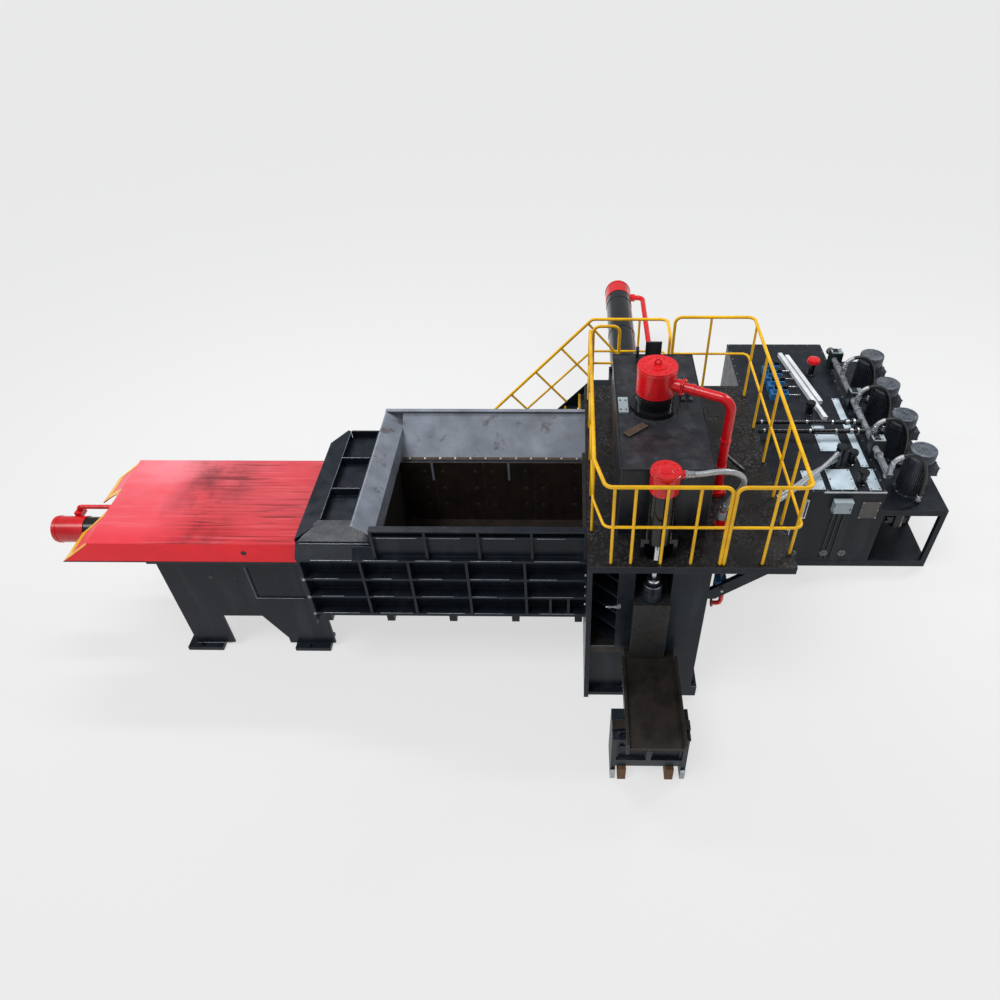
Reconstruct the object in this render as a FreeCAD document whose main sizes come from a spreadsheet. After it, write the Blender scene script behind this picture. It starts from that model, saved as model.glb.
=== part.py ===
import FreeCAD, Part
import math
import os
import re

import Sketcher

# Three-ram hydraulic scrap baler.  Millimetres, +Z up, +X along the press box from the main
# cylinder to the power unit, +Y away from the bale outlet.  The origin is on the floor under
# the middle of the bale chamber.

# ---------------------------------------------------------------- driving sizes
SIZES = {
    # press box
    "box_length": 3510, "chamber_half": 860, "liner_thick": 20, "wall_thick": 40,
    "rib_depth": 150, "rib_thick": 30, "rib_first": 761, "rib_pitch": 708, "rib_last": 589,
    "floor_top": 1050, "floor_thick": 100, "box_height": 1060, "rib_low": 1125,
    "liner_count": 5, "liner_joint": 4,
    # hopper collar
    "hopper_rise": 474, "hopper_front_gap": 70, "hopper_plate": 20, "hopper_flange": 90,
    "hopper_left": 3330, "hopper_left_lean": 220, "hopper_lip": 160, "hopper_rear_lean": 510,
    # hold-down beam
    "beam_width": 700, "beam_gap": 15, "beam_height": 135, "beam_rear": 1350,
    "pocket_width": 380, "pocket_length": 560, "pocket_rib": 90, "pocket_floor": 20,
    # main ram, its cover and its frame
    "ram_length": 900, "ram_rest_gap": 930, "ram_side_gap": 5, "slide_gap": 0.3,
    "cover_thick": 20, "cover_half": 840, "cover_rise": 20,
    "cover_left": 6940, "skirt_tip": 420, "skirt_depth": 320, "cover_arch": 300,
    "frame_length": 2000, "frame_half": 690, "frame_plate": 30,
    "frame_leg_left": 550, "frame_leg_right": 650, "arch_top": 640, "arch_foot": 170,
    "pad_height": 60, "pad_width": 200, "pad_reach": 560, "end_plate": 30, "tie_thick": 60,
    # main cylinder
    "main_axis": 1617, "main_tube": 170, "main_bore": 130, "main_rod": 90, "cap_length": 425,
    "cap_extra": 10, "cylinder_left": 7925, "rod_gap": 150, "gland_length": 160, "piston_length": 150,
    "end_wall": 75, "fit_gap": 0.5, "flange_extra": 95, "flange_thick": 60,
    # press frame
    "chamber_x": 215, "press_left": 770, "left_plate": 60, "press_depth": 1540,
    "column_width": 435, "column_depth": 1500, "column_wall": 50, "deck_top": 2670,
    "deck_thick": 8, "deck_beam": 92, "guide_bar": 185, "guide_gap": 3, "throat_wall": 65,
    "outlet_height": 560, "base_front": 1400, "foot_height": 200, "foot_extra": 80,
    "anchor_radius": 22,
    # crown and press ram
    "crown_left": 430, "crown_right": 570, "crown_half": 1180, "crown_top": 3600,
    "crown_wall": 60, "press_rest": 2200, "press_height": 500, 
    "press_tube": 220, "press_bore": 170, "press_rod": 120, "press_tube_low": 3080,
    "press_tube_top": 3820, "press_cap_top": 4150, "press_cap_extra": 5,
    # eject ram
    "eject_height": 545, "eject_length": 2700, "eject_box_end": 4000,
    "eject_tube": 250, "eject_bore": 180, "eject_rod": 120, "eject_tip": 7700,
    "eject_cap": 420, "eject_box_wall": 50,
    # outlet gate
    "gate_front": 1600, "gate_plate": 100, "gate_low": 960, "gate_top": 1920,
    "gate_axis": 1450, "gate_tube": 145, "gate_bore": 110,
    "gate_rod": 33, "gate_tube_low": 2870, "gate_tube_top": 3560, "gate_cap_top": 3820,
    "clevis_radius": 110, "clevis_height": 330, "deck_hole": 150,
    # deck, railings and stairs
    "deck_left": 770, "deck_right": 1510, "deck_front": 1700, "deck_rear": 1940,
    "rail_height": 1100, "rail_tube": 42, "rail_thin": 34, "rail_inset": 50,
    "rail_bend": 90, "rail_gap": 34, "stair_start": 670, "stair_rear": 2500, "landing_right": 420,
    "landing_drop": 250, "tread_count": 11, "tread_depth": 215, "tread_thick": 30,
    "stringer_thick": 12, "stringer_drop": 300, "stair_rail": 1000,
    # bale table
    "table_end": 2900, "table_left": 280, "table_right": 350, "table_top": 945,
    "table_thick": 45, "table_stand": 30, "stand_out_left": 180, "stand_out_right": 45,
    "table_beam_low": 230, "table_beam_high": 360,
    "wood_width": 100,
    # power unit
    "unit_front": 980, "unit_rear": 5200, "tank_left": 1900, "tank_right": 3600,
    "stand_right": 4600, "base_height": 120, "tank_top": 1500, "tank_wall": 8,
    "lid_thick": 10, "stand_top": 1160, "stand_plate": 25, "post_width": 80,
    "motor_x": 4150, "motor_first": 1460, "motor_pitch": 890, "motor_count": 4,
    "motor_radius": 190, "motor_flange": 225, "motor_body": 640, "cowl_height": 130,
    "cowl_wall": 6, "shaft_radius": 30, "bearing_gap": 0.1, "bell_radius": 150,
    "bell_height": 280, "pump_radius": 100, "pump_height": 380, "rotor_radius": 140,
    "header_x": 3600, "header_z": 1700, "header_radius": 45, "block_width": 200,
    "block_depth": 170, "header_rise": 140, "hose_radius": 30, "feed_radius": 35,
    "tray_width": 62, "post_radius": 80,
}

# Names worked out from the driving sizes.
WORKED_OUT = {
    "box_right": "-press_left",
    "box_left": "-press_left - box_length",
    "liner_outer": "chamber_half + liner_thick",
    "wall_outer": "liner_outer + wall_thick",
    "rib_outer": "wall_outer + rib_depth",
    "box_top": "floor_top + box_height",
    "floor_low": "floor_top - liner_thick - floor_thick",
    "throat_outer": "chamber_half + throat_wall",
    "ram_low": "floor_top + slide_gap",
    "cover_low": "box_top + cover_rise",
    "cover_top": "cover_low + cover_thick",
    "ram_face": "box_left + ram_rest_gap",
    "ram_back": "ram_face - ram_length",
    "skirt_low": "cover_top - skirt_depth",
    "beam_low": "cover_top + beam_gap",
    "beam_top": "beam_low + beam_height",
    "frame_right": "box_left - end_plate",
    "frame_left": "frame_right - frame_length",
    "frame_top": "skirt_low - end_plate",
    "tube_left": "cap_length - cylinder_left",
    "tube_right": "ram_back - rod_gap",
    "deck_low": "deck_top - deck_thick",
    "frame_low": "deck_low - deck_beam",
    "column_right": "chamber_x + column_width",
    "outlet_top": "floor_top + outlet_height",
    "gate_half": "chamber_x - guide_gap",
    "hopper_top": "box_top + hopper_rise",
    "eject_axis": "floor_top + slide_gap + eject_height / 2",
    "eject_back": "throat_outer + eject_length",
    "press_top": "press_rest + press_height",
    "rail_top": "deck_top + rail_height - rail_tube / 2",
    "landing": "deck_top - landing_drop",
    "stair_foot": "-stair_start - tread_count * tread_depth",
    "motor_top": "stand_top + motor_body",
    "lid_top": "tank_top + lid_thick",
    "gate_port_z": "gate_cap_top - 65",
}

doc = FreeCAD.newDocument("ScrapBaler")
sheet = doc.addObject("Spreadsheet::Sheet", "Sizes")
for row, (alias, size) in enumerate(SIZES.items(), start=1):
    sheet.set(f"A{row}", alias)
    sheet.set(f"B{row}", str(size))
    sheet.setAlias(f"B{row}", alias)
doc.recompute()


# ---------------------------------------------------------------- building helpers
def bound(text):
    """An expression of sheet cells, from an expression of named sizes."""
    def swap(match):
        word = match.group()
        if word in SIZES:
            return "Sizes." + word
        if word in WORKED_OUT:
            return "(" + bound(WORKED_OUT[word]) + ")"
        return word
    return re.sub(r"[a-z][a-z_]*", swap, str(text))


def number(text):
    """The value of an expression, in millimetres."""
    return float(sheet.evalExpression(bound(text)))


def place(item, x, y, z):
    """Bind an object's position to three expressions."""
    for axis, text in zip("xyz", (x, y, z)):
        item.setExpression(f"Placement.Base.{axis}", bound(text))


def block(name, x, y, z):
    """A box between a low and a high expression on each axis."""
    item = doc.addObject("Part::Box", name)
    for size, (low, high) in zip(("Length", "Width", "Height"), (x, y, z)):
        item.setExpression(size, bound(f"({high}) - ({low})"))
    place(item, x[0], y[0], z[0])
    return item


TURNS = {"x": FreeCAD.Rotation(FreeCAD.Vector(0, 1, 0), 90),
         "y": FreeCAD.Rotation(FreeCAD.Vector(1, 0, 0), -90),
         "z": FreeCAD.Rotation()}


def round_bar(name, axis, start, radius, length):
    """A cylinder from a start point towards plus x, y or z."""
    item = doc.addObject("Part::Cylinder", name)
    item.Placement.Rotation = TURNS[axis]
    item.setExpression("Radius", bound(radius))
    item.setExpression("Height", bound(length))
    place(item, *start)
    return item


def plate(name, plane, outline, low, high):
    """A flat plate: its outline is a sketch on XY, XZ or YZ, padded from low to high."""
    body = doc.addObject("PartDesign::Body", name)
    sketch = body.newObject("Sketcher::SketchObject", name + "_outline")
    support = [item for item in body.Origin.OriginFeatures if item.Role == plane + "_Plane"][0]
    sketch.AttachmentSupport = (support, [""])
    sketch.MapMode = "FlatFace"
    corners = [FreeCAD.Vector(number(a), number(b), 0) for a, b in outline]
    count = len(corners)
    sketch.addGeometry([Part.LineSegment(corners[i], corners[(i + 1) % count])
                        for i in range(count)])
    sketch.addConstraint([Sketcher.Constraint("Coincident", i, 2, (i + 1) % count, 1)
                          for i in range(count)])
    for i, (across, up) in enumerate(outline):
        for kind, text, at in (("DistanceX", across, corners[i].x), ("DistanceY", up, corners[i].y)):
            index = sketch.addConstraint(Sketcher.Constraint(kind, -1, 1, i, 1, at))
            sketch.setExpression(f"Constraints[{index}]", bound(text))
    pad = body.newObject("PartDesign::Pad", name + "_pad")
    pad.Profile = sketch
    pad.setExpression("Length", bound(f"({high}) - ({low})"))
    body.Tip = pad
    # The XZ plane's pad grows towards minus Y, so that plate hangs from its high side.
    spot = {"XY": (0, 0, low), "XZ": (0, high, 0), "YZ": (low, 0, 0)}[plane]
    place(body, *spot)
    return body


def joined(name, items):
    """One welded or cast piece."""
    if len(items) == 1:
        items[0].Label = name
        return items[0]
    item = doc.addObject("Part::MultiFuse", name)
    item.Shapes = items
    item.Refine = True
    return item


def cut(name, base, tools):
    """A piece with holes or pockets."""
    item = doc.addObject("Part::Cut", name)
    item.Base = base
    item.Tool = tools[0] if len(tools) == 1 else joined(name + "_tools", tools)
    return item


def group(name, items):
    """Separate solids that share one node."""
    item = doc.addObject("Part::Compound", name)
    item.Links = items
    return item


def mirrored(name, item):
    """A copy of a piece on the other side of the XZ plane."""
    copy = doc.addObject("Part::Mirroring", name)
    copy.Source = item
    copy.Normal = FreeCAD.Vector(0, 1, 0)
    return copy


def bent_tube(name, route, radius, bend=None):
    """A round tube along straight runs joined by tangent arcs.

    With no bend given, each arc is as large as its two runs allow, and the radii are printed."""
    points = [FreeCAD.Vector(*(number(text) for text in point)) for point in route]
    edges, start, radii = [], points[0], []
    for before, corner, after in zip(points, points[1:], points[2:]):
        into, out = corner - before, after - corner
        half_turn = into.getAngle(out) / 2
        shorter = min(into.Length, out.Length)
        arc = number(bend) if bend else 0.45 * shorter / math.tan(half_turn)
        radii.append(round(arc))
        into.normalize()
        out.normalize()
        reach = arc * math.tan(half_turn)
        first, last = corner - into * reach, corner + out * reach
        inward = (out - into).normalize()
        middle = corner + inward * (arc / math.cos(half_turn) - arc)
        edges += [Part.LineSegment(start, first).toShape(), Part.Arc(first, middle, last).toShape()]
        start = last
    edges.append(Part.LineSegment(start, points[-1]).toShape())
    path = Part.Wire(edges)
    section = Part.Wire(Part.Circle(points[0], points[1] - points[0], number(radius)).toShape())
    item = doc.addObject("Part::Feature", name)
    item.Shape = path.makePipeShell([section], True, False)
    expected = math.pi * number(radius) ** 2 * path.Length
    if abs(item.Shape.Volume - expected) > 0.01 * expected:
        raise RuntimeError(f"{name}: volume {item.Shape.Volume:.0f}, expected {expected:.0f}")
    if not bend:
        print(f"{name}: length {path.Length:.0f}, bend radii {radii}")
    return item


parts = []


def keep(item, name):
    """Name a finished sub-part and list it for export."""
    item.Label = name
    parts.append(item)
    return item


# ---------------------------------------------------------------- press box
def box_wall():
    """The front wall: plate, four rows of ribs, uprights and the end flange."""
    skin = block("wall_skin", ("box_left", "box_right"), ("-wall_outer", "-liner_outer"),
                 ("floor_low", "box_top"))
    items = [skin]
    step = "((box_top - rib_thick - rib_low) / 3)"
    for row in range(4):
        low = f"rib_low + {row} * {step}"
        items.append(block(f"wall_row_{row}", ("box_left", "box_right"),
                           ("-rib_outer", "-wall_outer"), (low, f"{low} + rib_thick")))
    uprights = [f"box_right - rib_first - {i} * rib_pitch" for i in range(3)]
    uprights += [f"{uprights[-1]} - rib_last", "box_left"]
    for i, x in enumerate(uprights):
        items.append(block(f"wall_upright_{i}", (x, f"{x} + rib_thick"),
                           ("-rib_outer", "-wall_outer"), ("rib_low", "box_top")))
    for i in range(2):
        x = f"box_right - rib_first * {0.3 + 0.3 * i}"
        items.append(block(f"wall_short_{i}", (x, f"{x} + rib_thick"), ("-rib_outer", "-wall_outer"),
                           ("rib_low", f"rib_low + {step}")))
    return joined("box_wall", items)


front_wall = box_wall()
end_skin = block("end_skin", ("frame_right", "box_left"), ("-rib_outer", "rib_outer"),
                 ("floor_low", "skirt_low - end_plate"))
end_window = block("end_window", ("frame_right - 1", "box_left + 1"), ("-frame_half + 90", "frame_half - 90"),
                   ("floor_top + 100", "skirt_low"))
keep(joined("box_weld", [front_wall, mirrored("box_wall_rear", front_wall),
                         cut("end_cut", end_skin, [end_window])]), "box_walls")

floor_items = [block("floor_skin", ("box_left", "box_right"), ("-liner_outer", "liner_outer"),
                     ("floor_low", "floor_top - liner_thick"))]
for i in range(5):
    beam_x = f"box_left + end_plate + {i} * (box_length - 2 * end_plate - 100) / 4"
    floor_items.append(block(f"floor_beam_{i}", (beam_x, f"{beam_x} + 100"),
                             ("-liner_outer", "liner_outer"), ("floor_low - 150", "floor_low")))
keep(joined("floor_weld", floor_items), "box_floor")


def liner_rows():
    """Bolted wear plates on the floor and on both walls, side by side along the box."""
    rows = []
    pitch = "(box_length / liner_count)"
    for i in range(SIZES["liner_count"]):
        x = (f"box_left + {i} * {pitch}", f"box_left + {i + 1} * {pitch} - liner_joint")
        rows.append(block(f"liner_floor_{i}", x, ("-chamber_half", "chamber_half"),
                          ("floor_top - liner_thick", "floor_top")))
        for side, y in (("front", ("-liner_outer", "-chamber_half")),
                        ("rear", ("chamber_half", "liner_outer"))):
            rows.append(block(f"liner_{side}_{i}", x, y, ("floor_top - liner_thick", "box_top")))
    return rows


keep(group("box_liners", liner_rows()), "box_liners")

# ---------------------------------------------------------------- hopper collar
front_y = "-wall_outer - hopper_front_gap + hopper_plate"
front_items = [
    block("collar_skin", ("-hopper_left", "box_right"), (f"{front_y} - hopper_plate", front_y),
          ("box_top", "hopper_top")),
    block("collar_flange", ("-hopper_left", "box_right"),
          (f"{front_y} - hopper_flange", f"{front_y} - hopper_plate"),
          ("hopper_top - hopper_plate", "hopper_top")),
    block("collar_rail", ("-hopper_left", "box_right"),
          (f"{front_y} - hopper_flange + 20", f"{front_y} - hopper_plate"),
          ("hopper_top - 130", "hopper_top - 110")),
]
for i in range(5):
    rib_x = f"-hopper_left + {i} * (hopper_left - press_left - rib_thick) / 4"
    front_items.append(block(f"collar_rib_{i}", (rib_x, f"{rib_x} + rib_thick"),
                             (f"{front_y} - hopper_flange + 10", f"{front_y} - hopper_plate"),
                             ("box_top", "hopper_top - hopper_plate")))
keep(joined("collar_front", front_items), "hopper_front_wall")

rear_foot, rear_lip = "wall_outer", "wall_outer + hopper_rear_lean"
rear_outline = [(rear_foot, "box_top"), (f"{rear_foot} + 30", "box_top"), (f"{rear_lip} + 30", "hopper_top"),
                (rear_lip, "hopper_top")]
rear_items = [plate("collar_rear", "YZ", rear_outline, "-hopper_left + hopper_plate", "box_right")]
for i in range(4):
    rib_x = f"-hopper_left + hopper_plate + {i} * (hopper_left - hopper_plate - press_left - rib_thick) / 3"
    gusset = [(f"{rear_foot} + 30", "box_top"), (f"{rear_foot} + 150", "box_top"),
              (f"{rear_lip} + 30", "hopper_top - 120"), (f"{rear_lip} + 30", "hopper_top")]
    rear_items.append(plate(f"collar_gusset_{i}", "YZ", gusset, rib_x, f"{rib_x} + rib_thick"))
keep(joined("collar_rear_weld", rear_items), "hopper_rear_wall")

lean_slope = "(hopper_rear_lean / hopper_rise)"
left_outline = [(front_y, "beam_low"), (f"{rear_foot} + (beam_low - box_top) * {lean_slope}", "beam_low"),
                (f"{rear_foot} + (hopper_rise - hopper_lip) * {lean_slope}", "hopper_top - hopper_lip"),
                (front_y, "hopper_top - hopper_lip")]
strip_outline = [("-hopper_left", "hopper_top - hopper_lip"),
                 ("-hopper_left + hopper_plate", "hopper_top - hopper_lip"),
                 ("-hopper_left - hopper_left_lean + hopper_plate", "hopper_top"),
                 ("-hopper_left - hopper_left_lean", "hopper_top")]
keep(joined("collar_left", [
    plate("collar_left_wall", "YZ", left_outline, "-hopper_left", "-hopper_left + hopper_plate"),
    plate("collar_left_strip", "XZ", strip_outline, front_y, rear_lip),
]), "hopper_left_wall")

# ---------------------------------------------------------------- hold-down beam and shear blade
beam_right = "box_left - 20 + beam_width"
beam_profile = [("-rib_outer", "box_top"), ("-wall_outer", "box_top"), ("-wall_outer", "beam_low"),
                ("wall_outer", "beam_low"), ("wall_outer", "box_top"), ("rib_outer", "box_top"),
                ("beam_rear", "beam_low + 30"), ("beam_rear", "beam_top"), ("-pocket_length", "beam_top"),
                ("-wall_outer", "beam_top - 50")]
beam_body = plate("beam_body", "YZ", beam_profile, "box_left - 20", beam_right)
pockets = []
for i in range(3):
    pocket_y = f"-pocket_length + 20 + {i} * (pocket_length + pocket_rib)"
    pockets.append(block(f"beam_pocket_{i}", (f"{beam_right} - pocket_width - 90", f"{beam_right} - 90"),
                         (pocket_y, f"{pocket_y} + pocket_length"),
                         ("beam_low + pocket_floor", "beam_top + 1")))
keep(cut("beam_weld", beam_body, pockets), "hold_down_beam")
keep(block("blade", ("box_right - 40", "box_right"), ("-chamber_half", "chamber_half"),
           ("beam_low + 5", "beam_low + 125")), "shear_blade")

# ---------------------------------------------------------------- ram frame
arch = [("frame_left", "pad_height"), ("frame_left + frame_leg_left", "pad_height"),
        ("frame_left + frame_leg_left", "arch_top"), ("frame_left + 2 * frame_leg_left", "arch_top"),
        ("frame_right - frame_leg_right", "arch_foot"), ("frame_right - frame_leg_right", "pad_height"),
        ("frame_right", "pad_height"), ("frame_right", "frame_top"), ("frame_left", "frame_top")]
side_skin = plate("side_skin", "XZ", arch, "-frame_half", "-frame_half + frame_plate")
side_window = block("side_window", ("frame_right - 850", "frame_right - 190"),
                    ("-frame_half - 1", "-frame_half + frame_plate / 2"),
                    ("floor_top - 50", "main_axis - 17"))
side_items = [cut("side_cut", side_skin, [side_window])]
for i, (x, pad_x) in enumerate((("frame_left", "frame_left - pad_width / 2"),
                                ("frame_right - pad_width * 1.5", "frame_right - pad_reach"))):
    pad = block(f"side_pad_{i}", (pad_x, f"{pad_x} + pad_width * 2.5"),
                ("-frame_half - pad_width / 2", "-frame_half + pad_width"), ("0", "pad_height"))
    pad_hole = round_bar(f"pad_hole_{i}", "z", (f"{pad_x} + pad_width", "-frame_half - 50", "-1"),
                         "anchor_radius", "pad_height + 2")
    side_items.append(cut(f"side_pad_cut_{i}", pad, [pad_hole]))
    side_items.append(block(f"side_stiff_{i}", (f"{x} + 60", f"{x} + 60 + frame_plate"),
                            ("-frame_half + frame_plate", "-frame_half + pad_width"),
                            ("pad_height", "arch_top")))
side_items.append(block("side_rail", ("frame_left", "frame_right"), ("-cover_half - 5", "-frame_half"),
                        ("skirt_low - slide_gap - 25", "skirt_low - slide_gap")))
side_items.append(block("side_rail_web", ("frame_left", "frame_right"), ("-frame_half - 25", "-frame_half"),
                        ("frame_top - 60", "skirt_low - slide_gap - 25")))
front_side = joined("front_side", side_items)
keep(group("ram_frame_pair", [front_side, mirrored("rear_side", front_side)]), "ram_frame_sides")

inner = ("-frame_half + frame_plate", "frame_half - frame_plate")
cylinder_plate = cut("cylinder_plate",
                     block("cylinder_plate_skin", ("frame_left", "frame_left + tie_thick"), inner,
                           ("arch_top + 300", "frame_top")),
                     [round_bar("cylinder_plate_hole", "x", ("frame_left - 1", "0", "main_axis"),
                                "main_tube + fit_gap", "tie_thick + 2")])
saddle_x = "frame_right - frame_leg_right"
saddle = cut("cylinder_saddle",
             block("saddle_skin", (saddle_x, f"{saddle_x} + tie_thick"), inner, ("floor_low", "main_axis")),
             [round_bar("saddle_seat", "x", (f"{saddle_x} - 1", "0", "main_axis"), "main_tube + fit_gap",
                        "tie_thick + 2")])
low_ties = [block(f"low_tie_{i}", (x, f"{x} + 120"), inner, ("arch_top + 20", "arch_top + 140"))
            for i, x in enumerate(("frame_left + 200", "frame_left + 1000", "frame_right - 200"))]
keep(group("frame_ties", [cylinder_plate, saddle] + low_ties), "ram_frame_ties")

# ---------------------------------------------------------------- main cylinder
tube_length = "tube_right - (tube_left)"
tube_outer = joined("main_tube_outer", [
    round_bar("main_tube_bar", "x", ("tube_left", "0", "main_axis"), "main_tube", tube_length),
    round_bar("main_tube_flange", "x", ("frame_left - flange_thick", "0", "main_axis"),
              "main_tube + flange_extra", "flange_thick"),
    round_bar("main_gland", "x", ("tube_right - gland_length", "0", "main_axis"), "main_tube + 20",
              "gland_length"),
    block("gland_port", ("tube_right - 110", "tube_right - 10"), ("110", "main_tube + 65"),
          ("main_axis + 120", "main_axis + 190")),
])
keep(cut("main_tube_weld", tube_outer, [
    round_bar("main_tube_bore", "x", ("tube_left - 1", "0", "main_axis"), "main_bore",
              f"{tube_length} - gland_length + 1"),
    round_bar("main_tube_throat", "x", ("tube_left", "0", "main_axis"), "main_rod + fit_gap",
              f"{tube_length} + 1"),
]), "main_cylinder_tube")

main_port = "(tube_left - 140)"
keep(joined("main_cap_weld", [
    cut("main_cap_cup", round_bar("main_cap_bar", "x", ("-cylinder_left", "0", "main_axis"),
                                  "main_tube + cap_extra", "cap_length"),
        [round_bar("main_cap_bore", "x", ("-cylinder_left + end_wall", "0", "main_axis"), "main_bore",
                   "cap_length")]),
    block("main_cap_port", (f"{main_port} - 50", f"{main_port} + 50"), ("110", "main_tube + 65"),
          ("main_axis + 120", "main_axis + 190")),
]), "main_cylinder_cap")

piston_x = "-cylinder_left + end_wall + 20"
keep(joined("main_rod_weld", [
    round_bar("main_piston", "x", (piston_x, "0", "main_axis"), "main_bore - fit_gap", "piston_length"),
    round_bar("main_rod_bar", "x", (piston_x, "0", "main_axis"), "main_rod", f"ram_back - ({piston_x})"),
]), "main_piston_rod")

pipe_y, pipe_z = "main_tube + 10", "main_axis + 245"
main_pipe = bent_tube("main_pipe", [(main_port, pipe_y, "main_axis + 190"), (main_port, pipe_y, pipe_z),
                                    ("tube_right - 60", pipe_y, pipe_z),
                                    ("tube_right - 60", pipe_y, "main_axis + 190")], "hose_radius", "50")

# ---------------------------------------------------------------- main ram and its cover
ram_y = ("-chamber_half + ram_side_gap", "chamber_half - ram_side_gap")
ram_pocket = block("ram_pocket", ("ram_back - 1", "ram_face - 150"),
                   ("-chamber_half + 80", "chamber_half - 80"),
                   ("ram_low + 80", "main_axis - 250"))
keep(cut("ram_weld", block("ram_block", ("ram_back", "ram_face"), ram_y, ("ram_low", "cover_low")),
         [ram_pocket]), "main_ram_head")

skirt = [("-cover_left", "cover_low"), ("-cover_left - skirt_tip", "skirt_low"),
         ("ram_back", "skirt_low"), ("ram_back", "cover_low")]
front_skirt = plate("front_skirt", "XZ", skirt, "-cover_half", "-cover_half + cover_thick")
ramp = [("-cover_left", "cover_low"), ("-cover_left - skirt_tip", "skirt_low"),
        ("-cover_left - skirt_tip + cover_thick", "skirt_low"), ("-cover_left + cover_thick", "cover_low")]
ramp_plate = cut("ramp_plate", plate("ramp_skin", "XZ", ramp, "-cover_half", "cover_half"),
                 [round_bar("ramp_arch", "x", ("-cover_left - skirt_tip - 1", "0", "skirt_low"),
                            "cover_arch", "skirt_tip + cover_thick + 2")])
keep(joined("cover_weld", [
    block("cover_skin", ("-cover_left", "ram_face"), ("-cover_half", "cover_half"),
          ("cover_low", "cover_top")),
    front_skirt, mirrored("rear_skirt", front_skirt), ramp_plate,
]), "main_ram_cover")

# ---------------------------------------------------------------- press frame
left_skin = block("left_skin", ("box_right", "box_right + left_plate"), ("-press_depth", "press_depth"),
                  ("0", "frame_low"))
left_window = block("left_window", ("box_right - 1", "box_right + left_plate + 1"),
                    ("-chamber_half", "chamber_half"), ("floor_low", "beam_low + 5"))
keep(cut("left_weld", left_skin, [left_window]), "press_left_plate")

neck_left = "box_right + left_plate"


def throat_side():
    """The front cheek of the throat: wall, gate guide bar, sloping shelves and outlet header."""
    guide = ("-chamber_x - guide_bar", "-chamber_x")
    items = [block("throat_skin", (neck_left, "-chamber_x"), ("-throat_outer", "-chamber_half"),
                   ("floor_top", "frame_low")),
             block("throat_guide", guide, ("-column_depth", "-throat_outer"), ("floor_top", "frame_low"))]
    for i in range(5):
        low = f"floor_top + {i} * (beam_low - floor_top) / 4"
        shelf = [(neck_left, "-throat_outer"), (guide[0], "-throat_outer"), (guide[0], "-column_depth + 40"),
                 (neck_left, "-throat_outer - 250")]
        items.append(plate(f"throat_shelf_{i}", "XY", shelf, low, f"{low} + rib_thick"))
    items.append(block("outlet_header", ("-chamber_x", "chamber_x"), ("-throat_outer", "-chamber_half"),
                       ("outlet_top", "frame_low")))
    return joined("throat_side", items)


front_throat = throat_side()
keep(group("throat_pair", [front_throat, mirrored("rear_throat", front_throat)]), "throat_sides")
keep(block("throat_block", (neck_left, "-chamber_x"), ("-chamber_half", "chamber_half"),
           ("beam_low + 5", "frame_low")), "throat_roof")
keep(block("chamber_plate", (neck_left, "chamber_x"), ("-gate_front + gate_plate + 3", "column_depth"),
           ("floor_low", "floor_top")), "chamber_floor")

base_skin = block("base_skin", (neck_left, "chamber_x"), ("-base_front", "base_front"), ("0", "floor_low"))
base_rooms = []
for i in range(2):
    room_x = f"{neck_left} + 50 + {i} * (chamber_x - ({neck_left}) - 50) / 2"
    base_rooms.append(block(f"base_room_{i}", (room_x, f"{room_x} + (chamber_x - ({neck_left}) - 150) / 2"),
                            ("-base_front + 40", "base_front - 40"), ("40", "floor_low - 60")))
foot_bar = cut("foot_bar", block("foot_bar_skin", (neck_left, "chamber_x"),
                                 ("-column_depth", "-base_front"), ("0", "60")),
               [round_bar(f"foot_hole_{i}", "z", (x, "-column_depth + 50", "-1"), "anchor_radius", "62")
                for i, x in enumerate((f"{neck_left} + 110", "chamber_x - 115"))])
keep(joined("base_weld", [cut("base_cut", base_skin, base_rooms), foot_bar,
                          mirrored("foot_bar_rear", foot_bar)]), "press_base")

column_skin = block("column_skin", ("chamber_x", "column_right"), ("-column_depth", "column_depth"),
                    ("0", "frame_low"))
column_rooms = [block(f"column_room_{i}", ("chamber_x + 2 * column_wall", "column_right - column_wall"),
                      (f"-column_depth + column_wall + {i} * (2 * column_depth - column_wall) / 3",
                       f"-column_depth + {i + 1} * (2 * column_depth - column_wall) / 3"),
                      ("column_wall", "frame_low + 1")) for i in range(3)]
foot_plate = block("column_foot", ("column_right", "column_right + foot_extra"),
                   ("-column_depth", "column_depth"), ("0", "foot_height"))
keep(joined("column_weld", [cut("column_cut", column_skin, column_rooms), foot_plate]),
     "press_right_column")

# ---------------------------------------------------------------- crown, press cylinder and press ram
crown_skin = block("crown_skin", ("-crown_left", "crown_right"), ("-crown_half", "crown_half"),
                   ("frame_low", "crown_top"))
crown_room = block("crown_room", ("-crown_left + crown_wall", "crown_right - crown_wall"),
                   ("-crown_half + crown_wall", "crown_half - crown_wall"),
                   ("frame_low - 1", "crown_top - crown_wall"))
crown_hole = round_bar("crown_hole", "z", ("0", "0", "crown_top - crown_wall - 1"), "press_tube + fit_gap",
                       "crown_wall + 2")
keep(cut("crown_weld", crown_skin, [crown_room, crown_hole]), "press_crown")

press_tube_outer = joined("press_tube_outer", [
    round_bar("press_tube_bar", "z", ("0", "0", "press_tube_low"), "press_tube",
              "press_tube_top - press_tube_low"),
    round_bar("press_tube_flange", "z", ("0", "0", "crown_top"), "press_tube + 60", "flange_thick"),
])
keep(cut("press_tube_weld", press_tube_outer, [
    round_bar("press_tube_bore", "z", ("0", "0", "press_tube_low + gland_length"), "press_bore",
              "press_tube_top - press_tube_low"),
    round_bar("press_tube_throat", "z", ("0", "0", "press_tube_low - 1"), "press_rod + fit_gap",
              "gland_length + 2"),
]), "press_cylinder_tube")

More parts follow.
